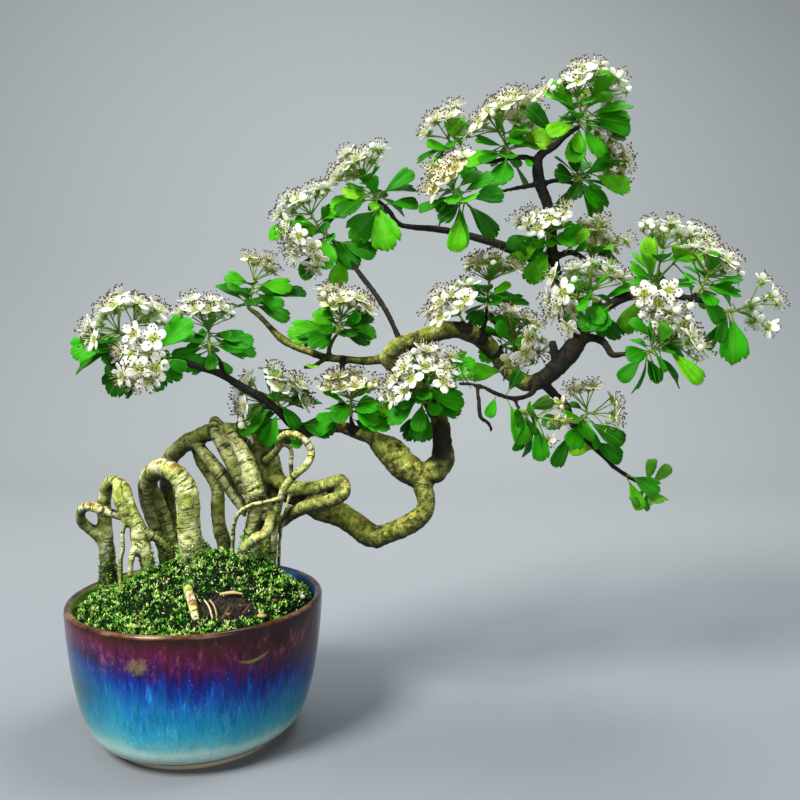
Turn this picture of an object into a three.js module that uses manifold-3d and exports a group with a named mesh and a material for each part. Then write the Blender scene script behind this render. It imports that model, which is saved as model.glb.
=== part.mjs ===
// Flowering hawthorn bonsai with exposed roots, in its glazed bowl.
// Millimetres, +Z up. While it is being built, zero is the middle of the bowl's foot on the table.
// The finished group is then moved so that zero is the middle of the bottom of the whole plant's box.
// The plant leans to +X, and -Y is its front.
import * as THREE from "three";
import { mergeVertices } from "three/addons/utils/BufferGeometryUtils.js";
import Module from "manifold-3d";

const wasm = await Module();
wasm.setup();

// Gap between pieces that touch
const GAP = 0.35;

// Slivers thinner than this are smoothed out of the joined solids
const SLIVER = 0.06;

// Volume of overlap that counts as a touch, in cubic millimetres
const TOUCH = 0.02;

// Bowl
const RIM_RADIUS = 78;
const FOOT_RADIUS = 52;
const BOWL_HEIGHT = 87;
const WALL = 5.5;
const FLOOR_TOP = 11;
const FOOT_RECESS = 4;
const DRAIN_RADIUS = 6;
const BOWL_SIDES = 20;

// Net over the drain hole
const NET_RADIUS = 10;
const NET_THICK = 1;
const NET_HOLE = 4;
const NET_PITCH = 6;

// Soil and moss: a mound that is highest in front of the middle and falls to its edge inside the rim
const MOUND_EDGE = 82;
const MOUND_RISE = 34;
const MOUND_MIDDLE = { x: 18, y: -14 };
const MOUND_WIDTH = 66;
const MOUND_DEPTH = 30;
const MOUND_RADIUS = 72;
const SOIL_SIDES = 12;
const MOSS_THICK = 4.5;
const MOSS_LUMP = 2.2;
const MOSS_SEED = 77;
const BARE_PATCH = { x: 30, y: -44, radius: 14 };

// Bark: how far a limb may stray from its route, in all and for each millimetre of its radius
const ROUTE_SLACK = 1.2;
const ROUTE_SLACK_THICK = 0.15;

// Leaves: the half ratio is half a leaf's greatest width for each millimetre of its length. The cup lifts its
// sides and the droop lowers its tip.
const SHOOT_LENGTH = 7;
const SHOOT_RADIUS = 1.1;
const LEAF_LENGTH = 23;
const LEAF_HALF_RATIO = 0.27;
const LEAF_THICK = 0.9;
const LEAF_CUP = 0.18;
const LEAF_DROOP = 0.14;

// Flowers: stalks of about one length fan out from each fork into a dome
const FLOWER_RADIUS = 6.6;
const STALK_REACH = 13;
const STALK_RADIUS = 0.95;
const CUP_RADIUS = 1.25;
const STALK_SUNK = 1.2;
const KNOT_RADIUS = 2.6;
const HEAD_SPREAD = 0.5;
const HEAD_SPREAD_EACH = 0.07;
const GOLDEN_ANGLE = Math.PI * (3 - Math.sqrt(5));

// Room kept between sprays, from bark, and among the flowers and leaves of one spray
const CELL_GAP = 0.8;
const WOOD_ROOM = 1.5;
const ENOUGH_ROOM = 2.8;
const SPRAY_SEED = 4100;
const SEED_STEP = 7919;

// Bark routes: [x, y, z, radius] along each root and branch, from where it starts to its tip
const ROOTS = {
  archLeft: [[-60, 11, 70, 5.5], [-61, 12, 80, 5.8], [-61, 12, 95, 5.5], [-61, 11, 113, 4.8],
    [-62, 11, 131, 4.5], [-61, 9, 146, 4.1], [-55, 4, 157, 3.8], [-45, -2, 154, 4.1], [-40, -5, 142, 4],
    [-35, -7, 131, 4.9], [-33, -8, 121, 5.6], [-29, -9, 111, 4.3], [-27, -9, 90, 3.2], [-26, -3, 70, 3]],
  loopLeft: [[-43, -6, 136, 2.5], [-56, -8, 141, 3.1], [-66, -6, 143, 3.1], [-73, 0, 137, 3.1],
    [-73, 6, 129, 3.5], [-66, 9, 122, 3.8], [-61, 11, 111, 3.2]],
  strandLeft: [[-49, -3, 157, 1.9], [-47, -9, 148, 2.2], [-42, -10, 137, 1.8], [-43, -10, 127, 1.5],
    [-43, -11, 116, 1.5], [-44, -12, 110, 1.5], [-44, -12, 91, 1.5]],
  sideLeft: [[-33, -6, 130, 2.8], [-27, -3, 124, 2.5], [-21, 2, 116, 2.5], [-17, 4, 108, 2.2],
    [-15, 4, 86, 1.9]],
  toeLeft: [[-33, -9, 120, 2.8], [-36, -14, 115, 2.1], [-38, -16, 92, 1.5]],
  archBig: [[-20, 2, 67, 4.6], [-24, 20, 83, 4.6], [-27, 20, 112, 4.9], [-32, 18, 128, 5.2],
    [-34, 12, 144, 5.8], [-31, 4, 158, 6], [-21, -6, 167, 5.9], [-10, -12, 165, 6.1], [-3, -14, 156, 6.7],
    [-1, -15, 146, 6.7], [-1, -15, 133, 7], [0, -15, 121, 7.6], [0, -14, 92, 7], [0, 3, 69, 6]],
  innerBig: [[-30, 8, 155, 2.9], [-27, 14, 143, 2.9], [-23, 17, 128, 2.6], [-20, 17, 112, 2.6],
    [-18, 16, 82, 2.3]],
  toeBig: [[1, -14, 124, 3.1], [6, -6, 117, 2.5], [10, -4, 108, 2.2], [12, -4, 89, 1.9]],
  surfaceRoot: [[-1, -16, 115, 3.6], [1, -27, 104, 3], [4, -37, 100, 2.9], [9, -46, 94, 2.7],
    [13, -54, 87, 2.1]],
  backRise: [[-22, 34, 77, 4.1], [-23, 34, 109, 4.4], [-26, 32, 126, 4.7], [-26, 26, 148, 4.9],
    [-22, 16, 167, 5.2], [-12, 9, 178, 5.4], [-2, 6, 184, 5.4], [8, 5, 188, 5.4], [18, 8, 188, 5.7]],
  frontStrand: [[14, 10, 191, 2.9], [12, 0, 196, 3.1], [13, -6, 190, 3.1], [17, -9, 182, 2.8],
    [21, -10, 173, 2.4], [26, -9, 162, 2.1], [31, -5, 151, 1.9]],
  mainRoot: [[16, 4, 190, 5.7], [23, -2, 183, 6.2], [29, -5, 175, 6.5], [34, -7, 164, 6.8],
    [38, -8, 152, 6.5], [39, -8, 141, 6.2], [37, -8, 129, 5.6], [35, -8, 116, 5.6], [34, -7, 90, 5],
    [33, -2, 72, 5]],
  slantRoot: [[-1, 6, 180, 3.2], [4, 2, 176, 3.8], [10, 0, 169, 4.4], [18, 0, 159, 4.4], [24, 2, 148, 4.1],
    [32, 2, 136, 3.1]],
  backRoot: [[-10, 10, 179, 2.8], [-6, 18, 177, 2.6], [-2, 18, 167, 2.9], [4, 18, 158, 3.2],
    [9, 18, 149, 4.2], [9, 18, 137, 4.6], [10, 18, 125, 4.6], [13, 18, 112, 4.9], [14, 18, 84, 4.6],
    [14, 9, 70, 4.6]],
  crossStrand: [[55, -9, 150, 1.5], [53, -13, 149, 1.5], [46, -17, 148, 1.5], [37, -19, 146, 1.5],
    [31, -18, 142, 1.5], [27, -15, 135, 1.5], [25, -12, 123, 1.5], [24, -10, 90, 1.5]],
  curlRoot: [[40, 4, 148, 2.5], [46, -6, 143, 2.8], [48, -12, 136, 3.1], [46, -16, 129, 3.3],
    [39, -18, 125, 3.3], [33, -19, 119, 3], [30, -19, 93, 2.4]],
  hoopOuter: [[42, 6, 169, 2.8], [51, 0, 178, 2.5], [54, -4, 186, 2.5], [62, -6, 188, 2.5],
    [70, -6, 183, 2.5], [73, -6, 176, 2.5], [70, -8, 169, 2.5], [63, -10, 163, 2.4], [57, -10, 156, 2.5],
    [54, -9, 148, 2.5], [51, -6, 136, 2.5], [49, -4, 123, 2.5], [46, -2, 88, 2.2]],
  hoopInner: [[53, -1, 182, 1.2], [59, 2, 178, 1.6], [59, 3, 168, 1.6], [59, 4, 159, 1.3],
    [58, 3, 149, 1.3], [55, 2, 137, 1.3], [52, 2, 123, 1.3], [50, 2, 87, 1.3]],
  core: [[17, 8, 189, 5.4], [27, 14, 186, 7.1], [35, 18, 180, 8.1], [40, 20, 170, 8.8], [43, 20, 159, 8.5],
    [46, 18, 149, 7.1], [42, 18, 129, 5.5], [37, 18, 81, 4.6]],
  bentRoot: [[42, 16, 159, 5.8], [53, 10, 154, 5.4], [63, 4, 152, 5.4], [75, -2, 153, 5.3],
    [85, -8, 157, 4.9], [92, -14, 160, 4.3], [94, -18, 154, 3.9], [87, -16, 149, 4.2], [75, -10, 145, 4.3],
    [64, -2, 140, 4.4], [54, 6, 132, 3.8], [45, 12, 120, 3.5], [41, 14, 82, 3.2]],
  rootstock: [[-60, 11, 70, 5.2], [-44, 5, 67, 4.6], [-20, 2, 66, 4.8], [14, 4, 68, 5.4], [33, -2, 72, 5]],
};
const BRANCHES = {
  trunk: [[44, 20, 155, 7.2], [55, 18, 148, 7.1], [67, 16, 142, 7.1], [77, 14, 137, 7.4],
    [89, 12, 134, 7.7], [100, 8, 128, 7.7], [110, 4, 122, 7.3], [120, 0, 125, 6.6], [131, -2, 130, 6.6],
    [141, -3, 137, 6.2], [144, -3, 145, 5.9], [142, -2, 154, 6.2], [143, 0, 161, 7.5], [149, 0, 165, 8.4],
    [154, 0, 171, 7.5], [154, 1, 180, 6.3], [153, 4, 191, 6], [150, 6, 202, 5.7], [144, 5, 211, 5.3],
    [136, 2, 219, 5.3], [128, -3, 226, 5.2], [122, -8, 232, 5.2], [122, -11, 238, 5.1],
    [129, -12, 243, 5.4], [138, -12, 246, 5.4], [149, -10, 250, 5.5], [161, -6, 252, 5.5],
    [171, -2, 250, 5.5], [180, 3, 245, 5.6], [186, 6, 239, 5.3], [193, 6, 230, 5.3], [200, 3, 223, 5.3],
    [208, -1, 219, 5.3], [217, -5, 223, 5.5], [224, -8, 230, 5.8], [230, -9, 237, 6.1],
    [236, -7, 245, 5.5], [240, -3, 251, 4.3]],
  burl: [[143, 0, 159, 7.5], [136, 1, 163, 8.8], [129, 2, 168, 9.7], [123, 3, 175, 9.4],
    [116, 5, 180, 7.3], [109, 7, 185, 4.7], [99, 9, 188, 4.4], [89, 11, 191, 4.1], [76, 14, 191, 4.5],
    [63, 17, 186, 5.2], [50, 18, 183, 5.8], [34, 18, 182, 6.5]],
  branchLeftLong: [[122, -9, 237, 4], [115, -6, 234, 3.1], [104, 0, 233, 2.8], [93, 5, 234, 2.5],
    [81, 10, 235, 2.5], [69, 15, 239, 2.6], [58, 19, 243, 2.6], [50, 21, 248, 2.6], [42, 23, 256, 1.9],
    [35, 24, 263, 1.9], [29, 25, 267, 1.6]],
  twigF: [[82, 9, 235, 1.6], [84, 4, 243, 1.6], [89, 0, 250, 1.2]],
  stubHang: [[92, 4, 234, 1.9], [91, 2, 226, 1.9], [91, 0, 219, 1.6], [93, -2, 213, 1.5]],
  twigSide: [[81, 9, 235, 1.6], [74, 6, 230, 1.6], [67, 4, 229, 1.3]],
  branchUpper: [[240, -3, 250, 3.1], [240, 6, 261, 3.1], [236, 16, 275, 3.2], [228, 24, 288, 3.2],
    [219, 30, 297, 3.3], [208, 34, 303, 3.3], [192, 36, 310, 3], [174, 36, 315, 2.6], [154, 34, 319, 2.3],
    [135, 30, 320, 2], [126, 27, 322, 1.9], [120, 24, 330, 1.6], [113, 22, 336, 1.3]],
  apex: [[230, 20, 285, 3.2], [226, 24, 301, 3.6], [225, 24, 317, 3.5], [222, 22, 333, 3.5],
    [217, 18, 343, 3.5], [214, 14, 354, 3.5], [215, 11, 361, 2.8], [223, 7, 366, 2.5], [229, 3, 371, 2.1],
    [237, 0, 376, 1.5]],
  apexLeft: [[215, 12, 357, 2.2], [206, 15, 361, 1.9], [196, 18, 361, 1.6], [184, 22, 360, 1.6],
    [172, 25, 363, 1.3], [164, 27, 367, 1.3]],
  twigCross: [[166, -14, 328, 1.2], [177, -6, 333, 1.2], [189, 2, 337, 1.2], [205, 12, 342, 1.6],
    [217, 17, 345, 1.9], [228, 21, 348, 1.6], [239, 24, 347, 1.6]],
  branchFar: [[226, 23, 299, 2.3], [239, 27, 303, 1.9], [251, 28, 297, 2], [261, 26, 292, 1.6],
    [269, 20, 285, 1.6], [276, 11, 278, 1.6], [283, 4, 276, 1.6]],
  branchRight: [[238, -5, 248, 3.4], [245, -8, 257, 3], [253, -12, 266, 3], [262, -15, 271, 3],
    [273, -17, 273, 2.7], [284, -20, 273, 2.4], [296, -24, 270, 2.1], [307, -28, 267, 1.5],
    [315, -31, 262, 1.2]],
  branchRightLow: [[236, -6, 245, 3.1], [243, -12, 247, 2.7], [249, -18, 244, 2.4], [252, -25, 237, 2.1],
    [256, -31, 237, 1.7], [262, -36, 238, 1.4], [266, -40, 237, 1.1]],
  stubRight: [[223, -8, 229, 2.7], [221, -12, 237, 2.7], [219, -14, 245, 2.4]],
  branchFall: [[214, -4, 221, 3.4], [224, 2, 212, 2.8], [233, 8, 204, 2.5], [236, 12, 196, 2.6],
    [242, 16, 188, 2.3], [251, 20, 179, 1.9], [261, 24, 170, 1.6], [270, 27, 162, 1.7],
    [283, 29, 154, 1.7], [293, 30, 151, 1.3]],
  branchLowMid: [[212, -5, 219, 2.2], [206, -15, 213, 1.8], [195, -24, 211, 1.5], [184, -29, 214, 1.5],
    [173, -32, 219, 1.2], [161, -32, 220, 1.2]],
  twigDrop: [[195, -24, 211, 1.2], [198, -26, 204, 1.2]],
  stubThin: [[172, -32, 219, 1.2], [173, -34, 211, 1.4], [174, -34, 201, 1.4], [179, -32, 197, 1.2],
    [181, -31, 192, 1.2]],
  branchLeftLow: [[70, 15, 189, 3.5], [59, 10, 193, 3.2], [51, 3, 202, 2.8], [41, -4, 211, 2.8],
    [30, -10, 218, 2.7], [20, -15, 225, 2.4], [10, -20, 229, 2.4], [-2, -25, 233, 2.1],
    [-11, -29, 235, 1.7], [-20, -31, 238, 1.7], [-28, -31, 240, 1.4]],
  spurC: [[21, -14, 224, 1.8], [19, -11, 231, 1.8], [15, -8, 236, 1.5], [11, -6, 238, 1.5]],
  branchMid: [[129, -11, 242, 2.4], [125, -3, 251, 1.8], [120, 6, 262, 1.9], [112, 14, 275, 1.9],
    [103, 21, 287, 1.9], [94, 26, 299, 1.6], [86, 29, 308, 1.6], [82, 30, 314, 1.6]],
  spurR: [[177, 0, 248, 1.9], [181, 6, 258, 1.6], [182, 9, 267, 1.3]],
  spurS: [[167, -5, 253, 1.8], [165, -12, 258, 1.5]],
  spurT: [[188, 6, 237, 2.2], [192, 13, 242, 1.6]],
  spurX: [[99, 9, 188, 1.9], [97, 4, 195, 1.6], [97, 0, 199, 1.2]],
  spurW: [[55, 7, 197, 1.9], [54, 6, 201, 1.6]],
  spurY: [[150, 5, 203, 2.5], [145, -7, 205, 1.5], [142, -12, 208, 1.5]],
  spurA: [[241, 16, 188, 1.6], [242, 12, 194, 1.3]],
  spurN: [[251, -11, 264, 1.8], [249, -6, 269, 1.5]],
  spurP: [[286, -20, 271, 1.8], [284, -28, 268, 1.2]],
  spurQ: [[298, -24, 270, 1.5], [301, -26, 273, 1.2]],
};

// Sprays: each has a green shoot on the tip of its twig (base), flower heads as [x, y, z, flowers] at the
// middle of the dome, leaves that reach to given tips, and more leaves that a rule places round the shoot
const SPRAYS = [
  { name: "farLeft", base: [-28, -31, 240], more: 1,
    heads: [[-45, -36, 257, 4], [-23, -26, 265, 4]],
    tips: [[-64, -34, 235], [-8, -20, 254], [-35, -44, 226]] },
  { name: "leftFront", base: [-11, -29, 235], more: 1,
    heads: [[-19, -50, 235, 6]],
    tips: [[-32, -44, 218], [-12, -38, 217], [-44, -22, 219], [2, -42, 224]] },
  { name: "leftTop", base: [11, -6, 238], more: 1,
    heads: [[10, -6, 266, 5]],
    tips: [[38, -14, 245], [-9, -18, 238], [16, -24, 228], [-7, 12, 252]] },
  { name: "cutTip", base: [29, 25, 267], more: 1,
    heads: [[36, 25, 297, 5]],
    tips: [[18, 14, 284], [63, 22, 285], [55, 8, 267], [20, 44, 274]] },
  { name: "midTop", base: [113, 22, 336], more: 1,
    heads: [[97, 24, 361, 5]],
    tips: [[135, 16, 348], [133, 28, 334], [120, 8, 304], [89, 2, 329], [95, 44, 332]] },
  { name: "midLeft", base: [82, 30, 314], more: 1,
    heads: [[64, 26, 339, 4], [61, 16, 308, 4]],
    tips: [[50, 34, 321], [102, 22, 298], [79, 8, 296], [87, 46, 294], [91, 40, 334]] },
  { name: "inner", base: [89, 0, 250], more: 1,
    heads: [[94, -2, 271, 6]],
    tips: [[62, -6, 254], [66, 6, 246], [108, -14, 247], [114, 12, 252]] },
  { name: "crown", base: [237, 0, 376], more: 1,
    heads: [[230, -6, 404, 5], [254, 8, 404, 5]],
    tips: [[269, -6, 383], [270, 12, 380], [216, -18, 393], [232, -14, 356], [248, 10, 354],
      [216, -20, 369]] },
  { name: "crownLeft", base: [196, 18, 361], more: 1,
    heads: [[182, 12, 388, 4], [205, 24, 397, 4]],
    tips: [[222, 10, 382], [191, 4, 341], [211, 32, 349], [174, 8, 359], [218, 34, 379]] },
  { name: "leftHigh", base: [164, 27, 367], more: 1,
    heads: [[152, 28, 387, 4]],
    tips: [[138, 22, 367], [165, 14, 388], [179, 18, 352], [143, 42, 360]] },
  { name: "crossLeft", base: [166, -14, 328], more: 1,
    heads: [[151, -22, 340, 4]],
    tips: [[162, -20, 300], [184, -14, 309], [138, -20, 323], [160, 6, 311]] },
  { name: "crossRight", base: [239, 24, 347], more: 1,
    heads: [[265, 26, 367, 4]],
    tips: [[272, 20, 344], [256, 26, 326], [233, 38, 333], [249, 42, 370], [250, 4, 343]] },
  { name: "topMid", base: [225, 24, 307], more: 1,
    heads: [[217, 14, 326, 5]],
    tips: [[196, 10, 300], [243, 34, 324], [221, 44, 333], [209, 10, 285]] },
  { name: "topRight", base: [251, 28, 297], more: 1,
    heads: [[260, 34, 314, 4]],
    tips: [[236, 42, 290], [240, 14, 280], [272, 44, 310]] },
  { name: "rightInner", base: [249, -6, 269], more: 1,
    heads: [[246, -4, 286, 4], [223, -14, 269, 4]],
    tips: [[230, -22, 256], [264, -26, 248], [251, -24, 250], [228, 6, 256]] },
  { name: "rightTop", base: [283, 4, 276], more: 1,
    heads: [[294, 6, 315, 4], [316, 16, 310, 4]],
    tips: [[276, -14, 301], [310, 2, 284], [271, 22, 290], [295, 34, 296]] },
  { name: "rightMid", base: [301, -26, 273], more: 1,
    heads: [[314, -28, 293, 5]],
    tips: [[323, -34, 264], [293, -46, 284], [327, -12, 279], [297, -38, 252]] },
  { name: "rightEnd", base: [315, -31, 262], more: 1,
    heads: [[339, -36, 270, 3], [341, -26, 256, 2]],
    tips: [[317, -34, 231], [332, -22, 265], [304, -42, 248]] },
  { name: "rightLow", base: [266, -40, 237], more: 1,
    heads: [[291, -44, 250, 6]],
    tips: [[274, -46, 221], [294, -36, 223], [302, -52, 240], [270, -54, 254], [252, -42, 223]] },
  { name: "archBack", base: [182, 9, 267], more: 1,
    heads: [[185, 10, 296, 5]],
    tips: [[179, -10, 284], [210, 14, 273], [161, 14, 279], [202, 28, 283], [172, 30, 267]] },
  { name: "bendTop", base: [192, 13, 242], more: 1,
    heads: [[203, 14, 260, 4], [208, 6, 236, 4]],
    tips: [[178, -4, 226], [217, 28, 243], [185, 28, 257], [199, 26, 220]] },
  { name: "gapLeft", base: [54, 6, 201], more: 1,
    heads: [[29, 2, 207, 4], [59, 4, 220, 4]],
    tips: [[25, -4, 191], [84, 0, 204], [43, -6, 182], [34, 24, 196], [73, 20, 212]] },
  { name: "gapMid", base: [97, 0, 199], more: 1,
    heads: [[97, -2, 222, 6]],
    tips: [[121, -16, 201], [72, -4, 200], [109, -22, 209], [82, 18, 206]] },
  { name: "trunkFront", base: [142, -12, 208], more: 1,
    heads: [[125, -20, 225, 5], [151, -24, 234, 4]],
    tips: [[135, -18, 186], [166, -20, 210], [120, -24, 199], [162, -10, 222], [124, 6, 203]] },
  { name: "fallSide", base: [242, 12, 194], more: 1,
    heads: [[262, 8, 200, 4], [244, 10, 215, 4]],
    tips: [[225, 2, 205], [258, 4, 181], [234, -4, 180], [270, 20, 187]] },
  { name: "fallDrop", base: [198, -26, 204], more: 1,
    heads: [[219, -24, 196, 4]],
    tips: [[201, -32, 181], [217, -18, 182], [209, -26, 178], [206, -44, 206]] },
  { name: "archFront", base: [165, -12, 258], more: 0,
    heads: [[156, -16, 271, 6]], tips: [] },
  { name: "rightFront", base: [284, -28, 268], more: 0,
    heads: [[271, -46, 262, 4]], tips: [] },
  { name: "fallTip", base: [293, 30, 151], more: 1,
    heads: [], tips: [[277, 20, 138], [309, 36, 160], [296, 46, 164], [292, 34, 132]] },
];

// A repeatable draw between 0 and 1 for each seed
function seeded(seed) {
  let state = seed >>> 0;
  return () => {
    state = (Math.imul(state, 1664525) + 1013904223) >>> 0;
    return state / 4294967296;
  };
}

const vec = (p) => new THREE.Vector3(p[0], p[1], p[2]);

// Closed solid from its points and its outward triangles
function solidFrom(points, triangles) {
  const vertProperties = new Float32Array(points.length * 3);
  points.forEach((p, i) => p.toArray(vertProperties, i * 3));
  const triVerts = new Uint32Array(triangles.flat());
  return new wasm.Manifold(new wasm.Mesh({ numProp: 3, vertProperties, triVerts }));
}

// Joins many solids, neighbours first
function unite(solids) {
  let left = solids;
  while (left.length > 1) {
    const joined = [];
    for (let i = 0; i < left.length; i += 2) {
      joined.push(i + 1 < left.length ? left[i].add(left[i + 1]) : left[i]);
    }
    left = joined;
  }
  return left[0];
}

// The largest body of a solid, without the loose scraps that a cut leaves and without needless slivers
function mainBody(solid) {
  const bodies = solid.decompose();
  bodies.sort((a, b) => b.volume() - a.volume());
  return bodies[0].simplify(SLIVER);
}

function meshOf(name, solid, material) {
  const { vertProperties, triVerts } = solid.getMesh();
  const geometry = new THREE.BufferGeometry();
  geometry.setAttribute("position", new THREE.BufferAttribute(vertProperties, 3));
  geometry.setIndex(new THREE.BufferAttribute(triVerts, 1));
  const mesh = new THREE.Mesh(geometry, material.clone());
  mesh.name = name;
  return mesh;
}

// Solid of a three.js geometry, with shared points merged
function solidOf(geometry) {
  geometry.deleteAttribute("normal");
  geometry.deleteAttribute("uv");
  const merged = mergeVertices(geometry);
  const position = merged.getAttribute("position");
  const points = [];
  for (let i = 0; i < position.count; i++) points.push(new THREE.Vector3().fromBufferAttribute(position, i));
  const triangles = [];
  for (let i = 0; i < merged.index.count; i += 3) {
    const [a, b, c] = [merged.index.getX(i), merged.index.getX(i + 1), merged.index.getX(i + 2)];
    if (a !== b && b !== c && c !== a) triangles.push([a, b, c]);
  }
  return solidFrom(points, triangles);
}

// Profile of [radius, z] points, anticlockwise, turned round Z. reshape may move each point of the result.
function turned(profile, sides, reshape) {
  const geometry = new THREE.LatheGeometry(profile.map(([r, z]) => new THREE.Vector2(r, z)), sides);
  geometry.rotateX(Math.PI / 2);
  if (reshape) {
    const position = geometry.getAttribute("position");
    for (let i = 0; i < position.count; i++) {
      const p = new THREE.Vector3().fromBufferAttribute(position, i);
      reshape(p);
      position.setXYZ(i, p.x, p.y, p.z);
    }
  }
  return solidOf(geometry);
}

// Round tube through points, with a radius at each one, closed at both ends
function sweep(points, radii, sides) {
  const tangents = points.map((p, i) => {
    const from = points[Math.max(0, i - 1)];
    const to = points[Math.min(points.length - 1, i + 1)];
    return new THREE.Vector3().subVectors(to, from).normalize();
  });
  const start = Math.abs(tangents[0].z) < 0.9 ? new THREE.Vector3(0, 0, 1) : new THREE.Vector3(0, 1, 0);
  let normal = start.addScaledVector(tangents[0], -start.dot(tangents[0])).normalize();
  const vertices = [];
  points.forEach((p, i) => {
    normal = normal.clone().addScaledVector(tangents[i], -normal.dot(tangents[i])).normalize();
    const side = new THREE.Vector3().crossVectors(tangents[i], normal);
    for (let k = 0; k < sides; k++) {
      const turn = (2 * Math.PI * k) / sides;
      const vertex = p.clone().addScaledVector(normal, radii[i] * Math.cos(turn));
      vertices.push(vertex.addScaledVector(side, radii[i] * Math.sin(turn)));
    }
  });
  const triangles = [];
  const last = (points.length - 1) * sides;
  for (let i = 0; i < last; i += sides) {
    for (let k = 0; k < sides; k++) {
      const next = (k + 1) % sides;
      triangles.push([i + k, i + next, i + sides + next]);
      triangles.push([i + k, i + sides + next, i + sides + k]);
    }
  }
  for (let k = 1; k < sides - 1; k++) {
    triangles.push([0, k + 1, k]);
    triangles.push([last, last + k, last + k + 1]);
  }
  return solidFrom(vertices, triangles);
}

// Height of the mound's moss above a point
function mound(x, y) {
  const across = (x - MOUND_MIDDLE.x) / MOUND_WIDTH;
  const along = (y - MOUND_MIDDLE.y) / MOUND_DEPTH;
  const nearEdge = Math.min(1, Math.hypot(x, y) / MOUND_RADIUS) ** 6;
  return MOUND_EDGE + MOUND_RISE * Math.exp(-across * across - along * along) * (1 - nearEdge);
}

// Bowl: foot ring, swelling wall, rounded lip and one drain hole
function makeBowl() {
  const profile = [
    [FOOT_RADIUS - 7, 0], [FOOT_RADIUS, 0], [FOOT_RADIUS + 1, 5], [62, 8], [69, 21], [74.5, 49],
    [RIM_RADIUS, BOWL_HEIGHT - 2.5], [RIM_RADIUS - 2, BOWL_HEIGHT], [RIM_RADIUS - 5, BOWL_HEIGHT - 1],
    [74.5 - WALL, 47], [62, 18], [54, FLOOR_TOP], [DRAIN_RADIUS, FLOOR_TOP],
    [DRAIN_RADIUS, FOOT_RECESS], [FOOT_RADIUS - 7, FOOT_RECESS],
  ];
  return turned([...profile, profile[0]], BOWL_SIDES);
}

// Plastic net over the drain hole: a thin disc with rows of square holes
function makeDrainNet() {
  const low = FLOOR_TOP + GAP;
  const net = turned([[0, low], [NET_RADIUS, low], [NET_RADIUS, low + NET_THICK], [0, low + NET_THICK]], 12);
  const holes = [];
  for (const column of [-0.5, 0.5]) {
    for (const row of [-0.5, 0.5]) {
      const box = new THREE.BoxGeometry(NET_HOLE, NET_HOLE, 4 * NET_THICK);
      box.translate(column * NET_PITCH, row * NET_PITCH, low);
      holes.push(solidOf(box));
    }
  }
  return net.subtract(unite(holes));
}

// Rings of points on the mound. Heights near ON_MOUND are counted from the mound's own surface.
const MOUND_RINGS = [36, 71];
const ON_MOUND = 1000;

// Moss mat over the whole mound, lumpy on top
function makeMat() {
  const low = ON_MOUND - MOSS_THICK;
  const draw = seeded(MOSS_SEED);
  const lumps = new Map();
  const profile = [
    [0, low], ...MOUND_RINGS.map((r) => [r, low]),
    ...[...MOUND_RINGS].reverse().map((r) => [r, ON_MOUND]), [0, ON_MOUND],
  ];
  return turned(profile, SOIL_SIDES, (p) => {
    const onTop = p.z > ON_MOUND - 1;
    p.z += mound(p.x, p.y) - ON_MOUND;
    const place = `${Math.round(p.x * 10)} ${Math.round(p.y * 10)}`;
    if (onTop && !lumps.has(place)) lumps.set(place, MOSS_LUMP * draw());
    if (onTop) p.z += lumps.get(place);
  });
}

// Soil: fills the bowl up to the underside of the mat, with a dimple over the net
function makeSoil(mat, rootHoles) {
  const top = 1.5 * BOWL_HEIGHT;
  const edge = MOUND_RINGS[MOUND_RINGS.length - 1] - 2 * GAP;
  const profile = [
    [0, FLOOR_TOP + NET_THICK + 2 * GAP], [NET_RADIUS + 1, FLOOR_TOP + NET_THICK + 2 * GAP],
    [NET_RADIUS + 1.5, FLOOR_TOP + GAP], [53, FLOOR_TOP + GAP], [61, 18.5], [67.6, 46], [edge, 70],
    [edge, top], [0, top],
  ];
  const fill = turned(profile, SOIL_SIDES).subtract(mat.translate([0, 0, -GAP]));
  return mainBody(mainBody(fill).subtract(rootHoles));
}

// Moss: the mat with a bare patch at the front
function makeMoss(mat, rootHoles) {
  const patch = new THREE.CylinderGeometry(BARE_PATCH.radius, BARE_PATCH.radius * 0.8, 60, 7);
  patch.rotateX(Math.PI / 2);
  patch.scale(1, 0.6, 1);
  patch.translate(BARE_PATCH.x, BARE_PATCH.y, mound(BARE_PATCH.x, BARE_PATCH.y));
  return mainBody(mat.subtract(solidOf(patch)).subtract(rootHoles));
}

// A route without the points that its neighbours nearly line up with already
function thinOut(route) {
  const last = route.length - 1;
  const ends = [vec(route[0]), vec(route[last])];
  let worst = 0;
  let excess = 0;
  route.slice(1, -1).forEach((p, i) => {
    const over = distanceToSegment(vec(p), ...ends) - ROUTE_SLACK - ROUTE_SLACK_THICK * p[3];
    if (over > excess) [worst, excess] = [i + 1, over];
  });
  if (!worst) return [route[0], route[last]];
  return [...thinOut(route.slice(0, worst + 1)).slice(0, -1), ...thinOut(route.slice(worst))];
}

// One root or branch along its route. grown widens it, for the hole that it stands in.
function makeLimb(route, grown = 0) {
  const kept = thinOut(route);
  const thickness = route.reduce((sum, p) => sum + p[3], 0) / route.length;
  const sides = thickness > 6 ? 6 : thickness > 4.3 ? 5 : 4;
  const points = kept.map(vec);
  if (grown > 0) {
    const last = points.length - 1;
    const onward = points[last].clone().sub(points[last - 1]).normalize();
    points[last].addScaledVector(onward, grown);
  }
  return sweep(points, kept.map((p) => p[3] + grown), sides);
}

// Space round roots or branches, cut out of what they stand in or pass
function makeRoomRound(routes) {
  return unite(routes.map((route) => makeLimb(route, GAP)));
}

// Unit vectors square to a direction
function crossAxes(direction) {
  const start = Math.abs(direction.z) < 0.9 ? new THREE.Vector3(0, 0, 1) : new THREE.Vector3(0, 1, 0);
  const side = new THREE.Vector3().crossVectors(direction, start).normalize();
  return [side, new THREE.Vector3().crossVectors(direction, side).normalize()];
}

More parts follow.
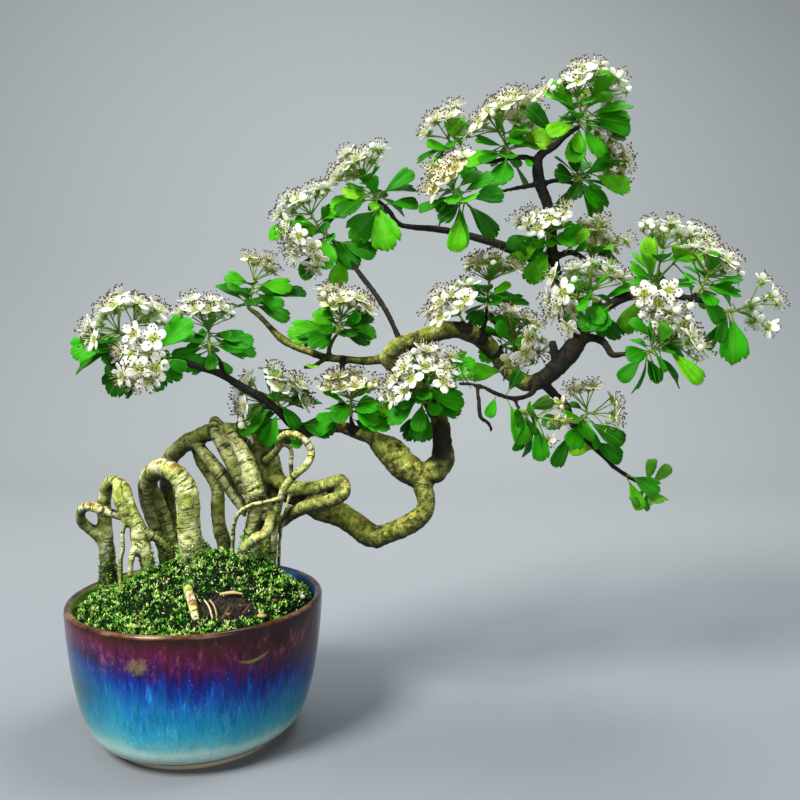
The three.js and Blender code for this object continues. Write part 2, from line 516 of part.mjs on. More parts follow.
// Direction at an angle from an axis, turned round it
function leaning(axis, polar, azimuth) {
  const [side, up] = crossAxes(axis);
  return axis.clone().multiplyScalar(Math.cos(polar))
    .addScaledVector(side, Math.sin(polar) * Math.cos(azimuth))
    .addScaledVector(up, Math.sin(polar) * Math.sin(azimuth));
}

// Green stems of a spray: the shoot on the twig's tip, and a fork for each flower head.
// Without leaves there is no shoot.
function planStems(spray) {
  const base = vec(spray.base);
  const aims = (spray.heads.length ? spray.heads : spray.tips).map(vec);
  const middle = aims.reduce((sum, p) => sum.add(p), new THREE.Vector3()).divideScalar(aims.length);
  const axis = middle.sub(base).normalize();
  const shootStart = base.clone().addScaledVector(axis, GAP);
  const shootEnd = base.clone().addScaledVector(axis, SHOOT_LENGTH);
  const shootLength = spray.tips.length ? SHOOT_LENGTH : 0;
  const stalkStart = base.clone().addScaledVector(axis, shootLength + GAP);
  const heads = spray.heads.map((head) => {
    const dome = vec(head);
    const facing = dome.clone().sub(stalkStart).normalize();
    const length = Math.max(KNOT_RADIUS + GAP, dome.distanceTo(stalkStart) - STALK_REACH);
    return { facing, fork: stalkStart.clone().addScaledVector(facing, length), flowers: head[3] };
  });
  return { axis, shootStart, shootEnd, stalkStart, heads };
}

// Places that a spray fills. Whatever lies nearer to another spray's places is left to that one.
function sitesOf(spray, stems) {
  const sites = [stems.shootStart.clone().lerp(stems.shootEnd, 0.5)];
  stems.heads.forEach(({ fork, facing }) => {
    sites.push(fork.clone().addScaledVector(facing, STALK_REACH * 0.6));
  });
  spray.tips.forEach((tip) => sites.push(stems.shootEnd.clone().lerp(vec(tip), 0.6)));
  return sites;
}

function nearest(point, sites) {
  return Math.min(...sites.map((site) => site.distanceTo(point)));
}

function distanceToSegment(point, from, to) {
  const along = new THREE.Vector3().subVectors(to, from);
  const t = THREE.MathUtils.clamp(point.clone().sub(from).dot(along) / along.lengthSq(), 0, 1);
  return from.clone().addScaledVector(along, t).distanceTo(point);
}

// Distance from a point to the bark, along the straight lines between the routes' points
function clearOfWood(point, wood) {
  return Math.min(...wood.map(([from, to, radius]) => distanceToSegment(point, from, to) - radius));
}

// Distance from a set of points to the nearest of others
function roomLeft(points, others) {
  let room = ENOUGH_ROOM + 1;
  points.forEach((p) => others.forEach((q) => { room = Math.min(room, p.distanceTo(q)); }));
  return room;
}

// Of the places that a flower or leaf could take, the first with room round it, or else the roomiest
function choosePlace(places, makeAt, blocked, taken) {
  let best = null;
  for (const place of places) {
    const item = makeAt(place);
    if (!blocked(item.marks)) {
      item.room = roomLeft(item.marks, taken);
      if (!best || item.room > best.room) best = item;
      if (item.room > ENOUGH_ROOM) break;
    }
  }
  return best;
}

const FLOWER_PLACES = [0, 3.5, -2.5, 6].flatMap((reach) => (
  [0, 0.35, -0.35].flatMap((turn) => [1, 0.85, 1.15].map((lean) => ({ reach, turn, lean })))));

// One flower: where its stalk leaves the fork, its middle, the way it faces, and marks of what it fills
function flowerAt(head, polar, azimuth, reach, spin) {
  const out = leaning(head.facing, polar, azimuth);
  const middle = head.fork.clone().addScaledVector(out, reach);
  const facing = out.addScaledVector(head.facing, 0.5).normalize();
  const [side, up] = crossAxes(facing);
  const marks = [0.5, 0.75, 1].map((t) => head.fork.clone().lerp(middle, t));
  for (let k = 0; k < 10; k++) {
    const turn = spin + (k * Math.PI) / 5;
    const radius = FLOWER_RADIUS * (k % 2 ? 0.56 : 1);
    marks.push(middle.clone().addScaledVector(facing, 1).addScaledVector(side, radius * Math.cos(turn))
      .addScaledVector(up, radius * Math.sin(turn)));
  }
  return { from: head.fork, middle, facing, spin, marks };
}

// Frame of a leaf: along its midrib, across it, and up out of its upper face
function leafFrame(root, direction, length, upward) {
  const normal = upward.clone().addScaledVector(direction, -upward.dot(direction)).normalize();
  const across = new THREE.Vector3().crossVectors(normal, direction);
  return { root, along: direction, across, normal, length };
}

// Point of a leaf at a share t of its length and a share w of its length from the midrib
function onLeaf(leaf, t, w, lift = 0) {
  const rise = leaf.length * (LEAF_CUP * Math.abs(w) - LEAF_DROOP * t * t) + lift;
  return leaf.root.clone().addScaledVector(leaf.along, t * leaf.length)
    .addScaledVector(leaf.across, w * leaf.length).addScaledVector(leaf.normal, rise);
}

const LEAF_MARKS = [
  [0.3, 0], [0.45, 0.05], [0.45, -0.05], [0.6, 0.17], [0.6, 0], [0.6, -0.17], [0.77, 0.28], [0.77, 0.14],
  [0.77, 0], [0.77, -0.14], [0.77, -0.28], [0.88, 0.13], [0.88, -0.13], [0.98, 0],
];
const LEAF_PLACES = [0, 0.25, -0.25, 0.5, -0.5, 0.8, -0.8, 1.15, -1.15, 1.5].flatMap((turn) => (
  [0, 0.3, -0.25].map((rise) => ({ turn, rise }))));

// One leaf: its frame, turned and raised a little round the shoot, and marks that show what it fills
function leafAt(root, direction, length, axis, roll, place) {
  const raised = direction.clone().addScaledVector(axis, place.rise).normalize();
  const aim = raised.applyAxisAngle(axis, place.turn);
  const upward = axis.clone().multiplyScalar(0.8).add(new THREE.Vector3(0, 0, 0.6));
  upward.addScaledVector(new THREE.Vector3().crossVectors(aim, axis), roll);
  const leaf = leafFrame(root, aim, length * (1 - 0.12 * Math.abs(place.turn)), upward);
  leaf.marks = LEAF_MARKS.map(([t, w]) => onLeaf(leaf, t, w));
  return leaf;
}

// Flowers of one spray
function planFlowers(heads, draw, strays) {
  const flowers = [];
  heads.forEach((head) => {
    const phase = draw() * 2 * Math.PI;
    for (let k = 0; k < head.flowers; k++) {
      const polar = (HEAD_SPREAD + HEAD_SPREAD_EACH * head.flowers) * Math.sqrt((k + 0.5) / head.flowers);
      const azimuth = k * GOLDEN_ANGLE + phase;
      const reach = STALK_REACH * (0.9 + 0.2 * draw());
      const spin = draw() * 2 * Math.PI;
      const makeAt = (place) => (
        flowerAt(head, polar * place.lean, azimuth + place.turn, reach + place.reach, spin));
      const taken = flowers.flatMap((other) => other.marks);
      const flower = choosePlace(FLOWER_PLACES, makeAt, (marks) => strays(marks, WOOD_ROOM), taken);
      if (flower) flowers.push(flower);
    }
  });
  return flowers;
}

// Leaves of one spray: those that reach to the given tips, then the rule's own round the shoot
function planLeaves(spray, stems, draw, blocked) {
  const leaves = [];
  const add = (share, direction, length) => {
    const root = stems.shootStart.clone().lerp(stems.shootEnd, share);
    const roll = 0.6 * (draw() - 0.5);
    const makeAt = (place) => leafAt(root, direction, length, stems.axis, roll, place);
    const leaf = choosePlace(LEAF_PLACES, makeAt, blocked, leaves.flatMap((other) => other.marks));
    if (leaf) leaves.push(leaf);
  };
  const forward = (tip) => vec(tip).sub(stems.shootStart).normalize().dot(stems.axis);
  const tips = [...spray.tips].sort((a, b) => forward(a) - forward(b));
  tips.forEach((tip, k) => {
    const share = 0.3 + 0.65 * (k / tips.length);
    const reach = vec(tip).sub(stems.shootStart.clone().lerp(stems.shootEnd, share));
    add(share, reach.clone().normalize(), reach.length());
  });
  for (let k = 0; k < spray.more; k++) {
    const polar = (k % 2 ? 1.35 : 1.65) + 0.25 * draw();
    const direction = leaning(stems.axis, polar, k * GOLDEN_ANGLE + 2 * draw());
    add(0.25 + 0.6 * (k / spray.more), direction, LEAF_LENGTH * (0.8 + 0.35 * draw()));
  }
  return leaves;
}

// Every stem, flower and leaf of every spray
function planSprays(wood) {
  const stems = SPRAYS.map(planStems);
  const sites = SPRAYS.map((spray, i) => sitesOf(spray, stems[i]));
  return SPRAYS.map((spray, i) => {
    const draw = seeded(SPRAY_SEED + SEED_STEP * i);
    const others = sites.filter((_, j) => j !== i).flat();
    const strays = (points, gap) => points.some((p) => (
      nearest(p, sites[i]) + CELL_GAP > nearest(p, others) || clearOfWood(p, wood) < gap));
    const flowers = planFlowers(stems[i].heads, draw, strays);
    const hits = (p) => (
      flowers.some((flower) => flower.middle.distanceTo(p) < FLOWER_RADIUS + 1.2)
      || flowers.some((flower) => distanceToSegment(p, flower.from, flower.middle) < 3)
      || stems[i].heads.some((head) => distanceToSegment(p, stems[i].stalkStart, head.fork) < 3));
    const blocked = (points) => strays(points, WOOD_ROOM) || points.some(hits);
    return { name: spray.name, stems: stems[i], flowers, leaves: planLeaves(spray, stems[i], draw, blocked) };
  });
}

// Leaf with three lobes at its tip, thickest on the midrib, narrowing to a point inside the shoot
const LEAF_EDGE = [[0.3, 0.045], [0.76, 1.07 * LEAF_HALF_RATIO], [0.8, 0.15], [0.97, 0.11]];

function makeLeaf(leaf) {
  const left = LEAF_EDGE.map(([t, w]) => onLeaf(leaf, t, w));
  const right = LEAF_EDGE.map(([t, w]) => onLeaf(leaf, t, -w));
  const rim = [onLeaf(leaf, 0, 0), ...right, ...left.reverse()];
  const above = rim.length;
  const below = above + 1;
  const triangles = [];
  rim.forEach((_, k) => {
    const next = (k + 1) % rim.length;
    triangles.push([above, k, next], [below, next, k]);
  });
  const middle = [LEAF_THICK / 2, -LEAF_THICK / 2].map((lift) => onLeaf(leaf, 0.6, 0, lift));
  return solidFrom([...rim, ...middle], triangles);
}

// Open flower with five petals, narrowing below into a stalk that ends inside the knot of its fork
function makeFlower(flower) {
  const [side, up] = crossAxes(flower.facing);
  const ring = (count, radiusAt, liftAt) => Array.from({ length: count }, (_, k) => {
    const turn = flower.spin + (k * 2 * Math.PI) / count;
    return flower.middle.clone().addScaledVector(flower.facing, liftAt(k))
      .addScaledVector(side, radiusAt(k) * Math.cos(turn)).addScaledVector(up, radiusAt(k) * Math.sin(turn));
  });
  const petals = ring(10, (k) => FLOWER_RADIUS * (k % 2 ? 0.5 : 1), (k) => (k % 2 ? 0.2 : 1.3));
  const cup = ring(3, () => CUP_RADIUS, () => -1.3);
  const stalkWay = flower.middle.clone().sub(flower.from).normalize();
  const root = flower.from.clone().addScaledVector(stalkWay, -STALK_SUNK);
  const points = [...petals, ...cup, root];
  const triangles = [[1, 3, 5], [1, 5, 7], [1, 7, 9]];
  for (let k = 0; k < 10; k += 2) triangles.push([(k + 9) % 10, k, k + 1]);
  for (let k = 0; k < 10; k++) {
    const near = 10 + (Math.floor(k * 0.3) % 3);
    const next = 10 + (Math.floor((k + 1) * 0.3) % 3);
    triangles.push([k, near, (k + 1) % 10]);
    if (next !== near) triangles.push([(k + 1) % 10, near, next]);
  }
  for (let k = 0; k < 3; k++) triangles.push([10 + k, 13, 10 + ((k + 1) % 3)]);
  return solidFrom(points, triangles);
}

// Stalks from the shoot to each fork, swollen where the flowers' own stalks spring from them
function makeStalks(plan, grown = 0) {
  const { stalkStart, heads } = plan.stems;
  return heads.map(({ fork, facing }) => {
    const beyond = (distance) => fork.clone().addScaledVector(facing, distance);
    const points = [stalkStart, beyond(-0.9 * KNOT_RADIUS), fork, beyond(0.55 * KNOT_RADIUS)];
    const radii = [STALK_RADIUS, STALK_RADIUS, KNOT_RADIUS, 0.6 * KNOT_RADIUS];
    return sweep(points, radii.map((radius) => radius + grown), 3);
  });
}

// Cuts room out of a solid, where the two meet at all
function clearOf(solid, room) {
  return solid.intersect(room).volume() > TOUCH ? solid.subtract(room) : solid;
}

// Shoot of one spray, starting as near to its twig as it can without touching
function makeShoot(plan, woodRoom) {
  const { axis, shootStart, shootEnd } = plan.stems;
  let shoot;
  for (let back = 0; back < SHOOT_LENGTH / 2; back += GAP) {
    const start = shootStart.clone().addScaledVector(axis, back);
    shoot = sweep([start, shootEnd], [SHOOT_RADIUS, SHOOT_RADIUS * 0.9], 5);
    if (shoot.intersect(woodRoom).volume() < TOUCH) return shoot;
  }
  return shoot;
}

// Shoot and leaves of one spray, clear of the twigs and of the flower stalks
function makeLeafNode(plan, woodRoom) {
  const whole = clearOf(unite([makeShoot(plan, woodRoom), ...plan.leaves.map(makeLeaf)]), woodRoom);
  return mainBody(plan.flowers.length ? clearOf(whole, unite(makeStalks(plan, GAP))) : whole);
}

// Flower heads of one spray
function makeBloomNode(plan, woodRoom) {
  const whole = unite([...makeStalks(plan), ...plan.flowers.map(makeFlower)]);
  return mainBody(clearOf(whole, woodRoom));
}

const MATERIALS = {
  glaze: new THREE.MeshStandardMaterial({ color: 0x2a6f9e, roughness: 0.18, metalness: 0 }),
  net: new THREE.MeshStandardMaterial({ color: 0x2b2d2b, roughness: 0.6, metalness: 0 }),
  soil: new THREE.MeshStandardMaterial({ color: 0x3a2a1c, roughness: 0.95, metalness: 0 }),
  moss: new THREE.MeshStandardMaterial({ color: 0x3f7d25, roughness: 0.95, metalness: 0 }),
  bark: new THREE.MeshStandardMaterial({ color: 0x8f8b55, roughness: 0.8, metalness: 0 }),
  leaf: new THREE.MeshStandardMaterial({ color: 0x3c9423, roughness: 0.45, metalness: 0 }),
  bloom: new THREE.MeshStandardMaterial({ color: 0xf4f3ea, roughness: 0.6, metalness: 0 }),
};

const plant = new THREE.Group();
const limbs = [...Object.values(ROOTS), ...Object.values(BRANCHES)];
const wood = limbs.flatMap((route) => route.slice(1).map((p, i) => (
  [vec(route[i]), vec(p), Math.max(p[3], route[i][3])])));
const mat = makeMat();
const rootHoles = makeRoomRound(Object.values(ROOTS));
const branchRoom = makeRoomRound(Object.values(BRANCHES));

plant.add(meshOf("pot", makeBowl(), MATERIALS.glaze));
plant.add(meshOf("drain_net", makeDrainNet(), MATERIALS.net));
plant.add(meshOf("soil", makeSoil(mat, rootHoles), MATERIALS.soil));
plant.add(meshOf("moss", makeMoss(mat, rootHoles), MATERIALS.moss));
plant.add(meshOf("tree", mainBody(unite(limbs.map((route) => makeLimb(route)))), MATERIALS.bark));

planSprays(wood).forEach((plan) => {
  const place = plan.name.replace(/[A-Z]/g, (letter) => `_${letter.toLowerCase()}`);
  if (plan.leaves.length) {
    plant.add(meshOf(`leaves_${place}`, makeLeafNode(plan, branchRoom), MATERIALS.leaf));
  }
  if (plan.flowers.length) {
    plant.add(meshOf(`blooms_${place}`, makeBloomNode(plan, branchRoom), MATERIALS.bloom));
  }
});

const box = new THREE.Box3().setFromObject(plant, true);
plant.position.set(-(box.min.x + box.max.x) / 2, -(box.min.y + box.max.y) / 2, -box.min.z);

export default plant;
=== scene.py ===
# Flowering hawthorn bonsai with exposed roots, in its glazed bowl.
# The routes and rules below are in millimetres round the middle of the pot's foot, as in the part's source.
import math

import bmesh
import bpy
import numpy as np
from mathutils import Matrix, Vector, kdtree, noise


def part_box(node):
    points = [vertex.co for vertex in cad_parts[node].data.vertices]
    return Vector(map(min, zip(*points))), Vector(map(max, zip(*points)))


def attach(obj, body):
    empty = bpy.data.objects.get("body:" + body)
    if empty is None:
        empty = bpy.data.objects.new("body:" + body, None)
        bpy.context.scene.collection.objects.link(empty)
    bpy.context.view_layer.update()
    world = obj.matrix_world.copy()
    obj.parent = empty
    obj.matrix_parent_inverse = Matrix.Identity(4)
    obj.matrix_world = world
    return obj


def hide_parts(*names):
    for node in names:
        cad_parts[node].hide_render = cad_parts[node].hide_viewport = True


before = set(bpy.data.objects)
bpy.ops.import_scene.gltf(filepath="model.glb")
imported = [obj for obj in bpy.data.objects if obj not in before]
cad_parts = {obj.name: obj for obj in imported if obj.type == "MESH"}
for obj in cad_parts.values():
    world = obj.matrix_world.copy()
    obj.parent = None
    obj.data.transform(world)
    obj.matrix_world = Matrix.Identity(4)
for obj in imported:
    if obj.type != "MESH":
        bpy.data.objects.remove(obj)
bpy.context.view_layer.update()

MM = 0.001
pot_low, pot_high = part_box("pot")
# Middle of the pot's foot in the model's frame, in millimetres
POT_AT = np.array([(pot_low[0] + pot_high[0]) / 2, (pot_low[1] + pot_high[1]) / 2, pot_low[2]]) / MM

# The part's own values: bowl, mound and bare patch (x, y, radius), then shoots, leaves and flowers,
# then the rule that places them
GAP = 0.35
BOWL_HEIGHT = 87
RIM_RADIUS = 78
MOUND_EDGE = 82
MOUND_RISE = 34
MOUND_MIDDLE = (18, -14)
MOUND_WIDTH = 66
MOUND_DEPTH = 30
MOUND_RADIUS = 72
BARE_PATCH = (30, -44, 14)
SHOOT_LENGTH = 7
LEAF_LENGTH = 23
LEAF_CUP = 0.18
LEAF_DROOP = 0.14
FLOWER_RADIUS = 6.6
STALK_REACH = 13
KNOT_RADIUS = 2.6
HEAD_SPREAD = 0.5
HEAD_SPREAD_EACH = 0.07
GOLDEN_ANGLE = math.pi * (3 - math.sqrt(5))
CELL_GAP = 0.8
WOOD_ROOM = 1.5
ENOUGH_ROOM = 2.8
SPRAY_SEED = 4100
SPRAY_SEED_STEP = 7919

# Glaze: where the bowl's inner face starts, then two marks with places and sizes as shares of the rim's radius and
# of the bowl's height: side, height, half width and half height of the blotch, side and height of the curved run
INNER_WALL = RIM_RADIUS - 3.6
BLOTCH = (-0.17, 0.80, 0.09, 0.06)
RUN = (0.58, 0.775)

# Fineness of the meshes, and how many small things lie and grow on the mound
ROUTE_STEP = 1.2
BOWL_SEGMENTS = 160
SOIL_SEGMENTS = 120
SOIL_RINGS = 36
SOIL_EDGE = 70.2
SOIL_SEED = 5
SOIL_CRUMBS = 420
CRUMB_SPREAD = (10, 7)
CRUMB_REACH = 68
LOOSE_BITS = 110
LOOSE_REACH = 66
MOSS_RINGS = 76
MOSS_SEGMENTS = 210
MOSS_EDGE = 71.6
MOSS_SEED = 11
MOSS_BLADES = 52000
MOSS_THIN_SHARE = 0.2
MOSS_GAP_LEVEL = -0.24
SOIL_BELOW = 2.6
LIMB_SIDES = 14
VOXEL = 1.2
STAMENS = 14

# Flowers and leaves beyond those of the solids
FLOWER_TRIES = 90
FLOWER_GAP = 7.2
BUD_GAP = 4.8
BUD_SHARE = 0.25
LEAF_TRIES = 200
LEAF_GAP = 4.2
FINE_SEED = 300

# Camera of the photograph, from the middle of the pot's foot, and its tilt down in radians
CAMERA_AT = (127.5, -483.0, 236.0)
CAMERA_TILT = 0.0565
LENS = 35.0
SENSOR = 36.0

# Bark routes: [x, y, z, radius] along each root and branch, from where it starts to its tip
ROOTS = {
    "archLeft": [[-60, 11, 70, 5.5], [-61, 12, 80, 5.8], [-61, 12, 95, 5.5], [-61, 11, 113, 4.8],
        [-62, 11, 131, 4.5], [-61, 9, 146, 4.1], [-55, 4, 157, 3.8], [-45, -2, 154, 4.1], [-40, -5, 142, 4],
        [-35, -7, 131, 4.9], [-33, -8, 121, 5.6], [-29, -9, 111, 4.3], [-27, -9, 90, 3.2], [-26, -3, 70, 3]],
    "loopLeft": [[-43, -6, 136, 2.5], [-56, -8, 141, 3.1], [-66, -6, 143, 3.1], [-73, 0, 137, 3.1],
        [-73, 6, 129, 3.5], [-66, 9, 122, 3.8], [-61, 11, 111, 3.2]],
    "strandLeft": [[-49, -3, 157, 1.9], [-47, -9, 148, 2.2], [-42, -10, 137, 1.8], [-43, -10, 127, 1.5],
        [-43, -11, 116, 1.5], [-44, -12, 110, 1.5], [-44, -12, 91, 1.5]],
    "sideLeft": [[-33, -6, 130, 2.8], [-27, -3, 124, 2.5], [-21, 2, 116, 2.5], [-17, 4, 108, 2.2],
        [-15, 4, 86, 1.9]],
    "toeLeft": [[-33, -9, 120, 2.8], [-36, -14, 115, 2.1], [-38, -16, 92, 1.5]],
    "archBig": [[-20, 2, 67, 4.6], [-24, 20, 83, 4.6], [-27, 20, 112, 4.9], [-32, 18, 128, 5.2],
        [-34, 12, 144, 5.8], [-31, 4, 158, 6], [-21, -6, 167, 5.9], [-10, -12, 165, 6.1], [-3, -14, 156, 6.7],
        [-1, -15, 146, 6.7], [-1, -15, 133, 7], [0, -15, 121, 7.6], [0, -14, 92, 7], [0, 3, 69, 6]],
    "innerBig": [[-30, 8, 155, 2.9], [-27, 14, 143, 2.9], [-23, 17, 128, 2.6], [-20, 17, 112, 2.6],
        [-18, 16, 82, 2.3]],
    "toeBig": [[1, -14, 124, 3.1], [6, -6, 117, 2.5], [10, -4, 108, 2.2], [12, -4, 89, 1.9]],
    "surfaceRoot": [[-1, -16, 115, 3.6], [1, -27, 104, 3], [4, -37, 100, 2.9], [9, -46, 94, 2.7],
        [13, -54, 87, 2.1]],
    "backRise": [[-22, 34, 77, 4.1], [-23, 34, 109, 4.4], [-26, 32, 126, 4.7], [-26, 26, 148, 4.9],
        [-22, 16, 167, 5.2], [-12, 9, 178, 5.4], [-2, 6, 184, 5.4], [8, 5, 188, 5.4], [18, 8, 188, 5.7]],
    "frontStrand": [[14, 10, 191, 2.9], [12, 0, 196, 3.1], [13, -6, 190, 3.1], [17, -9, 182, 2.8],
        [21, -10, 173, 2.4], [26, -9, 162, 2.1], [31, -5, 151, 1.9]],
    "mainRoot": [[16, 4, 190, 5.7], [23, -2, 183, 6.2], [29, -5, 175, 6.5], [34, -7, 164, 6.8],
        [38, -8, 152, 6.5], [39, -8, 141, 6.2], [37, -8, 129, 5.6], [35, -8, 116, 5.6], [34, -7, 90, 5],
        [33, -2, 72, 5]],
    "slantRoot": [[-1, 6, 180, 3.2], [4, 2, 176, 3.8], [10, 0, 169, 4.4], [18, 0, 159, 4.4], [24, 2, 148, 4.1],
        [32, 2, 136, 3.1]],
    "backRoot": [[-10, 10, 179, 2.8], [-6, 18, 177, 2.6], [-2, 18, 167, 2.9], [4, 18, 158, 3.2],
        [9, 18, 149, 4.2], [9, 18, 137, 4.6], [10, 18, 125, 4.6], [13, 18, 112, 4.9], [14, 18, 84, 4.6],
        [14, 9, 70, 4.6]],
    "crossStrand": [[55, -9, 150, 1.5], [53, -13, 149, 1.5], [46, -17, 148, 1.5], [37, -19, 146, 1.5],
        [31, -18, 142, 1.5], [27, -15, 135, 1.5], [25, -12, 123, 1.5], [24, -10, 90, 1.5]],
    "curlRoot": [[40, 4, 148, 2.5], [46, -6, 143, 2.8], [48, -12, 136, 3.1], [46, -16, 129, 3.3],
        [39, -18, 125, 3.3], [33, -19, 119, 3], [30, -19, 93, 2.4]],
    "hoopOuter": [[42, 6, 169, 2.8], [51, 0, 178, 2.5], [54, -4, 186, 2.5], [62, -6, 188, 2.5],
        [70, -6, 183, 2.5], [73, -6, 176, 2.5], [70, -8, 169, 2.5], [63, -10, 163, 2.4], [57, -10, 156, 2.5],
        [54, -9, 148, 2.5], [51, -6, 136, 2.5], [49, -4, 123, 2.5], [46, -2, 88, 2.2]],
    "hoopInner": [[53, -1, 182, 1.2], [59, 2, 178, 1.6], [59, 3, 168, 1.6], [59, 4, 159, 1.3],
        [58, 3, 149, 1.3], [55, 2, 137, 1.3], [52, 2, 123, 1.3], [50, 2, 87, 1.3]],
    "core": [[17, 8, 189, 5.4], [27, 14, 186, 7.1], [35, 18, 180, 8.1], [40, 20, 170, 8.8], [43, 20, 159, 8.5],
        [46, 18, 149, 7.1], [42, 18, 129, 5.5], [37, 18, 81, 4.6]],
    "bentRoot": [[42, 16, 159, 5.8], [53, 10, 154, 5.4], [63, 4, 152, 5.4], [75, -2, 153, 5.3],
        [85, -8, 157, 4.9], [92, -14, 160, 4.3], [94, -18, 154, 3.9], [87, -16, 149, 4.2], [75, -10, 145, 4.3],
        [64, -2, 140, 4.4], [54, 6, 132, 3.8], [45, 12, 120, 3.5], [41, 14, 82, 3.2]],
    "rootstock": [[-60, 11, 70, 5.2], [-44, 5, 67, 4.6], [-20, 2, 66, 4.8], [14, 4, 68, 5.4], [33, -2, 72, 5]],
}
